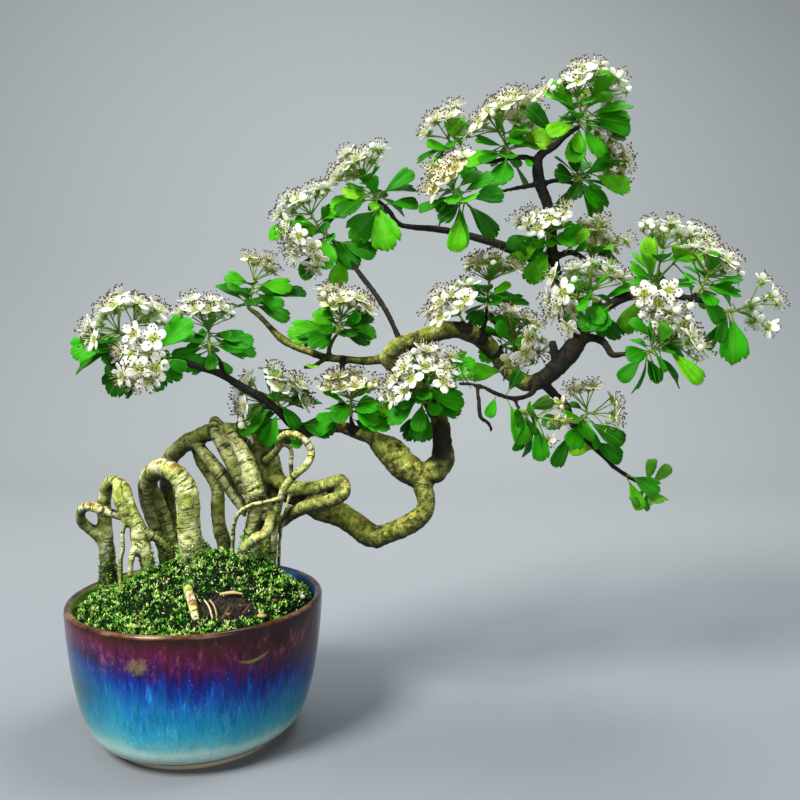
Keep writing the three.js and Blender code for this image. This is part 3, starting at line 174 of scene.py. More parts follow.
BRANCHES = {
    "trunk": [[44, 20, 155, 7.2], [55, 18, 148, 7.1], [67, 16, 142, 7.1], [77, 14, 137, 7.4],
        [89, 12, 134, 7.7], [100, 8, 128, 7.7], [110, 4, 122, 7.3], [120, 0, 125, 6.6], [131, -2, 130, 6.6],
        [141, -3, 137, 6.2], [144, -3, 145, 5.9], [142, -2, 154, 6.2], [143, 0, 161, 7.5], [149, 0, 165, 8.4],
        [154, 0, 171, 7.5], [154, 1, 180, 6.3], [153, 4, 191, 6], [150, 6, 202, 5.7], [144, 5, 211, 5.3],
        [136, 2, 219, 5.3], [128, -3, 226, 5.2], [122, -8, 232, 5.2], [122, -11, 238, 5.1],
        [129, -12, 243, 5.4], [138, -12, 246, 5.4], [149, -10, 250, 5.5], [161, -6, 252, 5.5],
        [171, -2, 250, 5.5], [180, 3, 245, 5.6], [186, 6, 239, 5.3], [193, 6, 230, 5.3], [200, 3, 223, 5.3],
        [208, -1, 219, 5.3], [217, -5, 223, 5.5], [224, -8, 230, 5.8], [230, -9, 237, 6.1],
        [236, -7, 245, 5.5], [240, -3, 251, 4.3]],
    "burl": [[143, 0, 159, 7.5], [136, 1, 163, 8.8], [129, 2, 168, 9.7], [123, 3, 175, 9.4],
        [116, 5, 180, 7.3], [109, 7, 185, 4.7], [99, 9, 188, 4.4], [89, 11, 191, 4.1], [76, 14, 191, 4.5],
        [63, 17, 186, 5.2], [50, 18, 183, 5.8], [34, 18, 182, 6.5]],
    "branchLeftLong": [[122, -9, 237, 4], [115, -6, 234, 3.1], [104, 0, 233, 2.8], [93, 5, 234, 2.5],
        [81, 10, 235, 2.5], [69, 15, 239, 2.6], [58, 19, 243, 2.6], [50, 21, 248, 2.6], [42, 23, 256, 1.9],
        [35, 24, 263, 1.9], [29, 25, 267, 1.6]],
    "twigF": [[82, 9, 235, 1.6], [84, 4, 243, 1.6], [89, 0, 250, 1.2]],
    "stubHang": [[92, 4, 234, 1.9], [91, 2, 226, 1.9], [91, 0, 219, 1.6], [93, -2, 213, 1.5]],
    "twigSide": [[81, 9, 235, 1.6], [74, 6, 230, 1.6], [67, 4, 229, 1.3]],
    "branchUpper": [[240, -3, 250, 3.1], [240, 6, 261, 3.1], [236, 16, 275, 3.2], [228, 24, 288, 3.2],
        [219, 30, 297, 3.3], [208, 34, 303, 3.3], [192, 36, 310, 3], [174, 36, 315, 2.6], [154, 34, 319, 2.3],
        [135, 30, 320, 2], [126, 27, 322, 1.9], [120, 24, 330, 1.6], [113, 22, 336, 1.3]],
    "apex": [[230, 20, 285, 3.2], [226, 24, 301, 3.6], [225, 24, 317, 3.5], [222, 22, 333, 3.5],
        [217, 18, 343, 3.5], [214, 14, 354, 3.5], [215, 11, 361, 2.8], [223, 7, 366, 2.5], [229, 3, 371, 2.1],
        [237, 0, 376, 1.5]],
    "apexLeft": [[215, 12, 357, 2.2], [206, 15, 361, 1.9], [196, 18, 361, 1.6], [184, 22, 360, 1.6],
        [172, 25, 363, 1.3], [164, 27, 367, 1.3]],
    "twigCross": [[166, -14, 328, 1.2], [177, -6, 333, 1.2], [189, 2, 337, 1.2], [205, 12, 342, 1.6],
        [217, 17, 345, 1.9], [228, 21, 348, 1.6], [239, 24, 347, 1.6]],
    "branchFar": [[226, 23, 299, 2.3], [239, 27, 303, 1.9], [251, 28, 297, 2], [261, 26, 292, 1.6],
        [269, 20, 285, 1.6], [276, 11, 278, 1.6], [283, 4, 276, 1.6]],
    "branchRight": [[238, -5, 248, 3.4], [245, -8, 257, 3], [253, -12, 266, 3], [262, -15, 271, 3],
        [273, -17, 273, 2.7], [284, -20, 273, 2.4], [296, -24, 270, 2.1], [307, -28, 267, 1.5],
        [315, -31, 262, 1.2]],
    "branchRightLow": [[236, -6, 245, 3.1], [243, -12, 247, 2.7], [249, -18, 244, 2.4], [252, -25, 237, 2.1],
        [256, -31, 237, 1.7], [262, -36, 238, 1.4], [266, -40, 237, 1.1]],
    "stubRight": [[223, -8, 229, 2.7], [221, -12, 237, 2.7], [219, -14, 245, 2.4]],
    "branchFall": [[214, -4, 221, 3.4], [224, 2, 212, 2.8], [233, 8, 204, 2.5], [236, 12, 196, 2.6],
        [242, 16, 188, 2.3], [251, 20, 179, 1.9], [261, 24, 170, 1.6], [270, 27, 162, 1.7],
        [283, 29, 154, 1.7], [293, 30, 151, 1.3]],
    "branchLowMid": [[212, -5, 219, 2.2], [206, -15, 213, 1.8], [195, -24, 211, 1.5], [184, -29, 214, 1.5],
        [173, -32, 219, 1.2], [161, -32, 220, 1.2]],
    "twigDrop": [[195, -24, 211, 1.2], [198, -26, 204, 1.2]],
    "stubThin": [[172, -32, 219, 1.2], [173, -34, 211, 1.4], [174, -34, 201, 1.4], [179, -32, 197, 1.2],
        [181, -31, 192, 1.2]],
    "branchLeftLow": [[70, 15, 189, 3.5], [59, 10, 193, 3.2], [51, 3, 202, 2.8], [41, -4, 211, 2.8],
        [30, -10, 218, 2.7], [20, -15, 225, 2.4], [10, -20, 229, 2.4], [-2, -25, 233, 2.1],
        [-11, -29, 235, 1.7], [-20, -31, 238, 1.7], [-28, -31, 240, 1.4]],
    "spurC": [[21, -14, 224, 1.8], [19, -11, 231, 1.8], [15, -8, 236, 1.5], [11, -6, 238, 1.5]],
    "branchMid": [[129, -11, 242, 2.4], [125, -3, 251, 1.8], [120, 6, 262, 1.9], [112, 14, 275, 1.9],
        [103, 21, 287, 1.9], [94, 26, 299, 1.6], [86, 29, 308, 1.6], [82, 30, 314, 1.6]],
    "spurR": [[177, 0, 248, 1.9], [181, 6, 258, 1.6], [182, 9, 267, 1.3]],
    "spurS": [[167, -5, 253, 1.8], [165, -12, 258, 1.5]],
    "spurT": [[188, 6, 237, 2.2], [192, 13, 242, 1.6]],
    "spurX": [[99, 9, 188, 1.9], [97, 4, 195, 1.6], [97, 0, 199, 1.2]],
    "spurW": [[55, 7, 197, 1.9], [54, 6, 201, 1.6]],
    "spurY": [[150, 5, 203, 2.5], [145, -7, 205, 1.5], [142, -12, 208, 1.5]],
    "spurA": [[241, 16, 188, 1.6], [242, 12, 194, 1.3]],
    "spurN": [[251, -11, 264, 1.8], [249, -6, 269, 1.5]],
    "spurP": [[286, -20, 271, 1.8], [284, -28, 268, 1.2]],
    "spurQ": [[298, -24, 270, 1.5], [301, -26, 273, 1.2]],
}
LIMBS = {**ROOTS, **BRANCHES}

# Sprays, as in the part's source: where the shoot starts, the middles of its flower heads, each with its number
# of flowers, and the tips of its main leaves
SPRAY_ROWS = [
    ("farLeft", [-28, -31, 240], [[-45, -36, 257, 4], [-23, -26, 265, 4]],
     [[-64, -34, 235], [-8, -20, 254], [-35, -44, 226]]),
    ("leftFront", [-11, -29, 235], [[-19, -50, 235, 6]],
     [[-32, -44, 218], [-12, -38, 217], [-44, -22, 219], [2, -42, 224]]),
    ("leftTop", [11, -6, 238], [[10, -6, 266, 5]], [[38, -14, 245], [-9, -18, 238], [16, -24, 228], [-7, 12, 252]]),
    ("cutTip", [29, 25, 267], [[36, 25, 297, 5]], [[18, 14, 284], [63, 22, 285], [55, 8, 267], [20, 44, 274]]),
    ("midTop", [113, 22, 336], [[97, 24, 361, 5]],
     [[135, 16, 348], [133, 28, 334], [120, 8, 304], [89, 2, 329], [95, 44, 332]]),
    ("midLeft", [82, 30, 314], [[64, 26, 339, 4], [61, 16, 308, 4]],
     [[50, 34, 321], [102, 22, 298], [79, 8, 296], [87, 46, 294], [91, 40, 334]]),
    ("inner", [89, 0, 250], [[94, -2, 271, 6]], [[62, -6, 254], [66, 6, 246], [108, -14, 247], [114, 12, 252]]),
    ("crown", [237, 0, 376], [[230, -6, 404, 5], [254, 8, 404, 5]],
     [[269, -6, 383], [270, 12, 380], [216, -18, 393], [232, -14, 356], [248, 10, 354], [216, -20, 369]]),
    ("crownLeft", [196, 18, 361], [[182, 12, 388, 4], [205, 24, 397, 4]],
     [[222, 10, 382], [191, 4, 341], [211, 32, 349], [174, 8, 359], [218, 34, 379]]),
    ("leftHigh", [164, 27, 367], [[152, 28, 387, 4]],
     [[138, 22, 367], [165, 14, 388], [179, 18, 352], [143, 42, 360]]),
    ("crossLeft", [166, -14, 328], [[151, -22, 340, 4]],
     [[162, -20, 300], [184, -14, 309], [138, -20, 323], [160, 6, 311]]),
    ("crossRight", [239, 24, 347], [[265, 26, 367, 4]],
     [[272, 20, 344], [256, 26, 326], [233, 38, 333], [249, 42, 370], [250, 4, 343]]),
    ("topMid", [225, 24, 307], [[217, 14, 326, 5]],
     [[196, 10, 300], [243, 34, 324], [221, 44, 333], [209, 10, 285]]),
    ("topRight", [251, 28, 297], [[260, 34, 314, 4]], [[236, 42, 290], [240, 14, 280], [272, 44, 310]]),
    ("rightInner", [249, -6, 269], [[246, -4, 286, 4], [223, -14, 269, 4]],
     [[230, -22, 256], [264, -26, 248], [251, -24, 250], [228, 6, 256]]),
    ("rightTop", [283, 4, 276], [[294, 6, 315, 4], [316, 16, 310, 4]],
     [[276, -14, 301], [310, 2, 284], [271, 22, 290], [295, 34, 296]]),
    ("rightMid", [301, -26, 273], [[314, -28, 293, 5]],
     [[323, -34, 264], [293, -46, 284], [327, -12, 279], [297, -38, 252]]),
    ("rightEnd", [315, -31, 262], [[339, -36, 270, 3], [341, -26, 256, 2]],
     [[317, -34, 231], [332, -22, 265], [304, -42, 248]]),
    ("rightLow", [266, -40, 237], [[291, -44, 250, 6]],
     [[274, -46, 221], [294, -36, 223], [302, -52, 240], [270, -54, 254], [252, -42, 223]]),
    ("archBack", [182, 9, 267], [[185, 10, 296, 5]],
     [[179, -10, 284], [210, 14, 273], [161, 14, 279], [202, 28, 283], [172, 30, 267]]),
    ("bendTop", [192, 13, 242], [[203, 14, 260, 4], [208, 6, 236, 4]],
     [[178, -4, 226], [217, 28, 243], [185, 28, 257], [199, 26, 220]]),
    ("gapLeft", [54, 6, 201], [[29, 2, 207, 4], [59, 4, 220, 4]],
     [[25, -4, 191], [84, 0, 204], [43, -6, 182], [34, 24, 196], [73, 20, 212]]),
    ("gapMid", [97, 0, 199], [[97, -2, 222, 6]], [[121, -16, 201], [72, -4, 200], [109, -22, 209], [82, 18, 206]]),
    ("trunkFront", [142, -12, 208], [[125, -20, 225, 5], [151, -24, 234, 4]],
     [[135, -18, 186], [166, -20, 210], [120, -24, 199], [162, -10, 222], [124, 6, 203]]),
    ("fallSide", [242, 12, 194], [[262, 8, 200, 4], [244, 10, 215, 4]],
     [[225, 2, 205], [258, 4, 181], [234, -4, 180], [270, 20, 187]]),
    ("fallDrop", [198, -26, 204], [[219, -24, 196, 4]],
     [[201, -32, 181], [217, -18, 182], [209, -26, 178], [206, -44, 206]]),
    ("archFront", [165, -12, 258], [[156, -16, 271, 6]], []),
    ("rightFront", [284, -28, 268], [[271, -46, 262, 4]], []),
    ("fallTip", [293, 30, 151], [], [[277, 20, 138], [309, 36, 160], [296, 46, 164], [292, 34, 132]]),
]
SPRAYS = [{"name": name, "base": base, "heads": heads, "tips": tips} for name, base, heads, tips in SPRAY_ROWS]

# Leaves that can be read in the photograph: x and z of root and tip, brightness in tenths, which paints the leaf's
# light and shade into its green
SEEN_LEAVES = {
    "crown": [(234, 378, 219, 402, 8), (222, 372, 204, 387, 4), (235, 375, 219, 372, 7),
        (241, 381, 270, 384, 8), (241, 380, 268, 376, 6), (240, 375, 248, 360, 5), (235, 372, 235, 361, 4)],
    "leftHigh": [(168, 367, 163, 388, 8), (160, 364, 146, 371, 4)],
    "crownLeft": [(199, 369, 222, 372, 8), (191, 366, 169, 360, 8), (198, 363, 187, 348, 7),
        (208, 368, 208, 356, 5)],
    "crossRight": [(241, 352, 262, 362, 3), (241, 351, 238, 360, 2), (250, 350, 272, 342, 6),
        (250, 350, 256, 329, 2), (248, 350, 237, 338, 2), (241, 350, 226, 351, 2)],
    "crossLeft": [(167, 325, 160, 301, 8), (169, 325, 184, 311, 3), (165, 326, 151, 318, 3),
        (169, 330, 187, 335, 4)],
    "topMid": [(231, 304, 244, 316, 7), (222, 308, 198, 311, 2), (224, 298, 205, 308, 3),
        (218, 295, 208, 288, 5)],
    "midTop": [(119, 340, 133, 353, 5), (119, 340, 109, 348, 6), (120, 336, 137, 336, 4),
        (114, 336, 91, 342, 8), (112, 333, 85, 333, 8), (119, 333, 110, 331, 6), (114, 329, 116, 306, 4),
        (110, 328, 97, 311, 4)],
    "midLeft": [(69, 324, 37, 316, 6), (82, 321, 65, 319, 7), (84, 310, 109, 306, 2), (79, 298, 52, 284, 3),
        (86, 298, 87, 283, 5)],
    "cutTip": [(34, 284, 16, 287, 4), (39, 281, 56, 283, 4), (39, 277, 51, 268, 4)],
    "inner": [(86, 252, 76, 263, 6), (84, 251, 61, 252, 5), (94, 251, 102, 261, 5), (94, 250, 109, 252, 7)],
    "rightTop": [(284, 281, 279, 306, 8), (286, 283, 270, 291, 6), (272, 271, 266, 248, 8),
        (289, 265, 302, 252, 3)],
    "topRight": [(238, 298, 236, 316, 6), (238, 297, 245, 307, 5)],
    "rightInner": [(262, 270, 236, 258, 3)],
    "rightLow": [(278, 238, 295, 223, 6), (267, 235, 274, 223, 3), (264, 251, 255, 239, 2)],
    "rightMid": [(301, 274, 310, 260, 4), (300, 277, 318, 276, 4)],
    "rightEnd": [(320, 257, 317, 233, 6)],
    "fallDrop": [(189, 208, 203, 184, 6), (188, 212, 196, 227, 3), (185, 210, 179, 203, 4),
        (205, 187, 210, 176, 4)],
    "bendTop": [(189, 219, 170, 228, 8), (189, 243, 207, 247, 5), (191, 240, 178, 235, 3)],
    "fallSide": [(220, 180, 226, 164, 4), (239, 189, 220, 197, 3), (250, 181, 271, 171, 4),
        (249, 192, 269, 182, 3), (252, 171, 237, 180, 7)],
    "fallTip": [(274, 158, 294, 151, 5), (268, 152, 285, 138, 8)],
    "gapMid": [(103, 209, 123, 204, 8), (100, 210, 105, 220, 5), (93, 196, 109, 193, 2), (78, 221, 74, 232, 8)],
    "gapLeft": [(49, 193, 25, 193, 2), (58, 215, 51, 224, 4), (64, 196, 86, 193, 3), (58, 193, 64, 183, 3)],
    "trunkFront": [(143, 197, 131, 187, 4), (143, 197, 140, 186, 3), (146, 202, 164, 204, 4),
        (153, 209, 159, 223, 7), (161, 228, 177, 238, 6), (121, 203, 128, 217, 3)],
    "farLeft": [(-42, 239, -65, 235, 5), (-26, 224, -43, 216, 2), (-38, 242, -41, 234, 2)],
    "leftFront": [(-14, 248, 3, 257, 4), (-12, 230, 4, 230, 4), (-20, 225, -14, 216, 5)],
    "leftTop": [(-1, 243, -8, 234, 3), (13, 244, 37, 247, 4), (13, 243, 34, 242, 3), (15, 237, 2, 230, 4),
        (17, 235, 25, 227, 3)],
    "archBack": [(177, 271, 166, 282, 5), (178, 272, 192, 282, 6), (180, 268, 172, 257, 3),
        (172, 259, 190, 260, 4)],
}


# The rule that places flowers and leaves, the same as in the part's source

def seeded(seed):
    """A repeatable draw between 0 and 1 for each seed."""
    state = seed & 0xFFFFFFFF

    def draw():
        nonlocal state
        state = (state * 1664525 + 1013904223) & 0xFFFFFFFF
        return state / 4294967296

    return draw


def vec(p):
    return np.array([float(p[0]), float(p[1]), float(p[2])])


def unit(v):
    return v / math.sqrt(v[0] * v[0] + v[1] * v[1] + v[2] * v[2])


def cross(a, b):
    return np.array([a[1] * b[2] - a[2] * b[1], a[2] * b[0] - a[0] * b[2], a[0] * b[1] - a[1] * b[0]])


def distance(a, b):
    d = a - b
    return math.sqrt(d @ d)


def cross_axes(direction):
    start = np.array([0.0, 0, 1]) if abs(direction[2]) < 0.9 else np.array([0.0, 1, 0])
    side = unit(cross(direction, start))
    return side, unit(cross(direction, side))


def leaning(axis, polar, azimuth):
    side, up = cross_axes(axis)
    return (axis * math.cos(polar) + side * (math.sin(polar) * math.cos(azimuth))
            + up * (math.sin(polar) * math.sin(azimuth)))


def turned_about(v, axis, angle):
    return (v * math.cos(angle) + cross(axis, v) * math.sin(angle)
            + axis * ((axis @ v) * (1 - math.cos(angle))))


class Wood:
    """Straight stretches of all limbs, for distances to the bark."""

    def __init__(self, limbs):
        starts, ways, radii = [], [], []
        for route in limbs:
            for a, b in zip(route, route[1:]):
                starts.append(vec(a))
                ways.append(vec(b) - vec(a))
                radii.append(max(a[3], b[3]))
        self.starts, self.ways, self.radii = np.array(starts), np.array(ways), np.array(radii)
        self.squares = (self.ways ** 2).sum(axis=1)

    def room(self, points):
        reach = points[:, None, :] - self.starts[None]
        t = np.clip((reach * self.ways[None]).sum(axis=2) / self.squares[None], 0, 1)
        gap = reach - t[..., None] * self.ways[None]
        return (np.sqrt((gap ** 2).sum(axis=2)) - self.radii[None]).min(axis=1)


WOOD = Wood(LIMBS.values())


def apart(points, others):
    """Distance from each point to the nearest of others."""
    d = points[:, None, :] - others[None]
    return np.sqrt((d ** 2).sum(axis=2)).min(axis=1)


def plan_stems(spray):
    """The shoot of a spray, and for each flower head its stalk, its fork and the way it faces."""
    base = vec(spray["base"])
    aims = [vec(p) for p in (spray["heads"] or spray["tips"])]
    axis = unit(sum(aims) / len(aims) - base)
    shoot_length = SHOOT_LENGTH if spray["tips"] else 0
    stalk_start = base + axis * (shoot_length + GAP)
    heads = []
    for head in spray["heads"]:
        dome = vec(head)
        facing = unit(dome - stalk_start)
        length = max(KNOT_RADIUS + GAP, distance(dome, stalk_start) - STALK_REACH)
        heads.append({"facing": facing, "fork": stalk_start + facing * length, "flowers": head[3]})
    return {"axis": axis, "start": base + axis * GAP, "end": base + axis * SHOOT_LENGTH,
            "stalk": stalk_start, "heads": heads}


def sites_of(spray, stems):
    """Places that belong to a spray, so that it keeps clear of its neighbours."""
    sites = [(stems["start"] + stems["end"]) / 2]
    sites += [head["fork"] + head["facing"] * (STALK_REACH * 0.6) for head in stems["heads"]]
    sites += [stems["end"] + (vec(tip) - stems["end"]) * 0.6 for tip in spray["tips"]]
    return sites


def choose_place(places, make_at, blocked, taken):
    """The first of some places with enough room, or else the one with the most."""
    best = None
    for place in places:
        item = make_at(place)
        if not blocked(item["marks"]):
            room = ENOUGH_ROOM + 1
            if len(taken):
                room = min(room, apart(item["marks"], taken).min())
            item["room"] = room
            if best is None or room > best["room"]:
                best = item
            if room > ENOUGH_ROOM:
                break
    return best


FLOWER_PLACES = [(reach, turn, lean) for reach in (0, 3.5, -2.5, 6) for turn in (0, 0.35, -0.35)
                 for lean in (1, 0.85, 1.15)]
LEAF_PLACES = [(turn, rise) for turn in (0, 0.25, -0.25, 0.5, -0.5, 0.8, -0.8, 1.15, -1.15, 1.5)
               for rise in (0, 0.3, -0.25)]
LEAF_MARKS = [(0.3, 0), (0.45, 0.05), (0.45, -0.05), (0.6, 0.17), (0.6, 0), (0.6, -0.17), (0.77, 0.28),
              (0.77, 0.14), (0.77, 0), (0.77, -0.14), (0.77, -0.28), (0.88, 0.13), (0.88, -0.13), (0.98, 0)]


# Which mark of a flower and of a leaf lies in its middle
FLOWER_MIDDLE = 2
LEAF_MIDDLE = 8


def flower_at(head, polar, azimuth, reach, spin):
    """One flower: its stalk, its middle, the way it faces, and marks of what it fills."""
    out = leaning(head["facing"], polar, azimuth)
    middle = head["fork"] + out * reach
    facing = unit(out + head["facing"] * 0.5)
    side, up = cross_axes(facing)
    marks = [head["fork"] + (middle - head["fork"]) * t for t in (0.5, 0.75, 1)]
    for k in range(10):
        turn = spin + k * math.pi / 5
        radius = FLOWER_RADIUS * (0.56 if k % 2 else 1)
        marks.append(middle + facing + side * (radius * math.cos(turn)) + up * (radius * math.sin(turn)))
    return {"from": head["fork"], "middle": middle, "facing": facing, "up": head["facing"], "spin": spin,
            "marks": np.array(marks)}


def on_leaf(leaf, t, w):
    length = leaf["length"]
    rise = length * (LEAF_CUP * abs(w) - LEAF_DROOP * t * t)
    return leaf["root"] + leaf["along"] * (t * length) + leaf["across"] * (w * length) + leaf["normal"] * rise


def leaf_at(root, direction, length, axis, roll, place):
    """One leaf: its root, its three directions, its length, and marks of what it fills."""
    turn, rise = place
    aim = turned_about(unit(direction + axis * rise), axis, turn)
    upward = axis * 0.8 + np.array([0, 0, 0.6]) + cross(aim, axis) * roll
    normal = unit(upward - aim * (upward @ aim))
    leaf = {"root": root, "along": aim, "across": cross(normal, aim), "normal": normal,
            "length": length * (1 - 0.12 * abs(turn))}
    leaf["marks"] = np.array([on_leaf(leaf, t, w) for t, w in LEAF_MARKS])
    return leaf


def marks_of(items):
    return np.concatenate([item["marks"] for item in items]) if items else np.zeros((0, 3))


def plan_flowers(heads, draw, strays):
    """Flowers of each head, set in a spiral over a dome."""
    flowers = []
    for head in heads:
        phase = draw() * 2 * math.pi
        count = head["flowers"]
        for k in range(count):
            polar = (HEAD_SPREAD + HEAD_SPREAD_EACH * count) * math.sqrt((k + 0.5) / count)
            azimuth = k * GOLDEN_ANGLE + phase
            reach = STALK_REACH * (0.9 + 0.2 * draw())
            spin = draw() * 2 * math.pi
            flower = choose_place(
                FLOWER_PLACES,
                lambda place: flower_at(head, polar * place[2], azimuth + place[1], reach + place[0], spin),
                lambda marks: strays(marks, WOOD_ROOM), marks_of(flowers))
            if flower:
                flowers.append(flower)
    return flowers


def plan_leaves(spray, stems, draw, blocked):
    """Leaves that reach to the given tips, and one more."""
    leaves = []

    def add(share, direction, length):
        root = stems["start"] + (stems["end"] - stems["start"]) * share
        roll = 0.6 * (draw() - 0.5)
        leaf = choose_place(LEAF_PLACES, lambda place: leaf_at(root, direction, length, stems["axis"], roll, place),
                            blocked, marks_of(leaves))
        if leaf:
            leaves.append(leaf)

    tips = sorted(spray["tips"], key=lambda tip: unit(vec(tip) - stems["start"]) @ stems["axis"])
    for k, tip in enumerate(tips):
        share = 0.3 + 0.65 * (k / len(tips))
        reach = vec(tip) - (stems["start"] + (stems["end"] - stems["start"]) * share)
        add(share, unit(reach), distance(reach, np.zeros(3)))
    if tips:
        direction = leaning(stems["axis"], 1.65 + 0.25 * draw(), 2 * draw())
        add(0.25, direction, LEAF_LENGTH * (0.8 + 0.35 * draw()))
    return leaves


def plan_sprays():
    """The flowers and leaves of every spray."""
    stems = [plan_stems(spray) for spray in SPRAYS]
    sites = [sites_of(spray, stem) for spray, stem in zip(SPRAYS, stems)]
    plans = []
    for i, spray in enumerate(SPRAYS):
        draw = seeded(SPRAY_SEED + SPRAY_SEED_STEP * i)
        own = np.array(sites[i])
        others = np.array([site for j, group in enumerate(sites) if j != i for site in group])

        def strays(points, gap):
            nearer_others = (apart(points, own) + CELL_GAP > apart(points, others)).any()
            return bool(nearer_others or (WOOD.room(points) < gap).any())

        flowers = plan_flowers(stems[i]["heads"], draw, strays)
        middles = np.array([flower["middle"] for flower in flowers])
        stalks = [(flower["from"], flower["middle"]) for flower in flowers]
        stalks += [(stems[i]["stalk"], head["fork"]) for head in stems[i]["heads"]]
        stalks = Wood([[[*low, 0], [*high, 0]] for low, high in stalks]) if flowers else None

        def blocked(points):
            if strays(points, WOOD_ROOM):
                return True
            if not flowers:
                return False
            return bool((apart(points, middles) < FLOWER_RADIUS + 1.2).any() or (stalks.room(points) < 3).any())

        plans.append({"name": spray["name"], "stems": stems[i], "flowers": flowers,
                      "leaves": plan_leaves(spray, stems[i], draw, blocked)})
    return plans


# Meshes

class Shape:
    """Points, faces, finishes and traits of one piece, gathered in millimetres before the piece is made."""

    def __init__(self):
        self.points, self.faces, self.finishes, self.traits, self.count = [], [], [], [], 0

    def add(self, points, faces, finish=0, traits=(0, 0, 0, 0)):
        """faces is a list of index arrays, finish a number or one list per array of faces."""
        points = np.asarray(points, float)
        for i, group in enumerate(faces):
            self.faces += (group + self.count).tolist()
            which = finish[i] if isinstance(finish, (list, tuple)) else finish
            self.finishes.append(np.broadcast_to(which, len(group)))
        self.points.append(points)
        self.traits.append(np.broadcast_to(np.asarray(traits, float), (len(points), 4)))
        self.count += len(points)

    def mesh(self, name, materials):
        mesh = bpy.data.meshes.new(name)
        points = (np.concatenate(self.points) + POT_AT) * MM
        mesh.from_pydata(points.tolist(), [], self.faces)
        mesh.polygons.foreach_set("material_index", np.concatenate(self.finishes).astype(np.int32))
        mesh.polygons.foreach_set("use_smooth", np.ones(len(self.faces), bool))
        set_traits(mesh, np.concatenate(self.traits))
        for material in materials:
            mesh.materials.append(material)
        return mesh


def set_traits(mesh, traits):
    layer = mesh.attributes.new("traits", "FLOAT_COLOR", "POINT")
    layer.data.foreach_set("color", np.asarray(traits, np.float32).ravel())
    mesh.update()


def place_piece(name, mesh, node):
    """Makes the object, on the fixed body, in the place of its solid."""
    thing = bpy.data.objects.new(name, mesh)
    bpy.context.scene.collection.objects.link(thing)
    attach(thing, "root")
    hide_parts(node)
    return thing


def grid_quads(rows, columns, closed=False):
    """Quads between the points of a grid. A closed one joins its last column to its first."""
    index = np.arange(rows * columns).reshape(rows, columns)
    if closed:
        index = np.concatenate([index, index[:, :1]], axis=1)
    return np.stack([index[:-1, :-1], index[:-1, 1:], index[1:, 1:], index[1:, :-1]], axis=-1).reshape(-1, 4)


def thin_sheet(rows, columns):
    """Quads of a closed sheet: a grid of points for its upper face, then one for its lower face."""
    upper = grid_quads(rows, columns)
    half = rows * columns
    index = np.arange(half).reshape(rows, columns)
    edge = np.concatenate([index[0], index[1:, -1], index[-1, -2::-1], index[-2:0:-1, 0]])
    ahead = np.roll(edge, -1)
    rim = np.stack([edge, edge + half, ahead + half, ahead], axis=-1)
    return [np.concatenate([upper, upper[:, ::-1] + half, rim])]


def tube(points, radii, sides):
    """Round tube through points, closed at both ends."""
    points = np.asarray(points, float)
    ways = np.gradient(points, axis=0)
    ways /= np.linalg.norm(ways, axis=1)[:, None]
    side = cross_axes(ways[0])[0]
    turns = np.arange(sides) * 2 * math.pi / sides
    rings = []
    for point, way, radius in zip(points, ways, radii):
        side = unit(side - way * (side @ way))
        up = cross(way, side)
        rings.append(point + radius * (np.cos(turns)[:, None] * side + np.sin(turns)[:, None] * up))
    rows = len(points)
    quads = grid_quads(rows, sides, closed=True)
    round_about = np.arange(sides)
    ahead = (round_about + 1) % sides
    first, last, top = rows * sides, rows * sides + 1, (rows - 1) * sides
    ends = [np.stack([ahead, round_about, np.full(sides, first)], axis=-1),
            np.stack([round_about + top, ahead + top, np.full(sides, last)], axis=-1)]
    return np.concatenate(rings + [points[:1], points[-1:]]), [quads, np.concatenate(ends)]


def lathe(profile, segments):
    """Rings of a profile of [radius, z] turned round Z. Points on the axis are kept a hair away from it."""
    profile = np.array([(max(r, 0.02), z) for r, z in profile])
    turns = np.arange(segments) * 2 * math.pi / segments
    return np.stack([profile[:, :1] * np.cos(turns), profile[:, :1] * np.sin(turns),
                     np.repeat(profile[:, 1:], segments, axis=1)], axis=-1)


def smooth_route(route, step):
    """Points every step or so along a Catmull-Rom curve through a route, with radius as a fourth number."""
    knots = np.array(route, float)
    knots = np.vstack([2 * knots[0] - knots[1], knots, 2 * knots[-1] - knots[-2]])
    out = []
    for k in range(1, len(knots) - 2):
        a, b, c, d = knots[k - 1:k + 3]
        count = max(2, int(np.linalg.norm((c - b)[:3]) / step))
        t = (np.arange(count) / count)[:, None]
        out.append(0.5 * (2 * b + (c - a) * t + (2 * a - 5 * b + 4 * c - d) * t ** 2
                          + (3 * b - a - 3 * c + d) * t ** 3))
    curve = np.vstack(out + [knots[-2:-1]])
    curve[:, 3] = np.maximum(curve[:, 3], 0.5)
    return curve


def rough(points, size, octaves=3, seed=0.0):
    """Fractal noise between about -1 and 1 at each point, for bumps of about the given size."""
    shift = Vector((seed, seed * 0.37, -seed))
    return np.array([noise.fractal(Vector(p) / size + shift, 1.0, 2.0, octaves) for p in points.tolist()])


def smoothstep(value, low, high):
    t = np.clip((value - low) / (high - low), 0, 1)
    return t * t * (3 - 2 * t)


# Materials

def colour(code):
    """Linear colour of a six-digit web colour."""
    parts = [int(code[i:i + 2], 16) / 255 for i in (0, 2, 4)]
    return tuple(p / 12.92 if p < 0.04045 else ((p + 0.055) / 1.055) ** 2.4 for p in parts) + (1.0,)


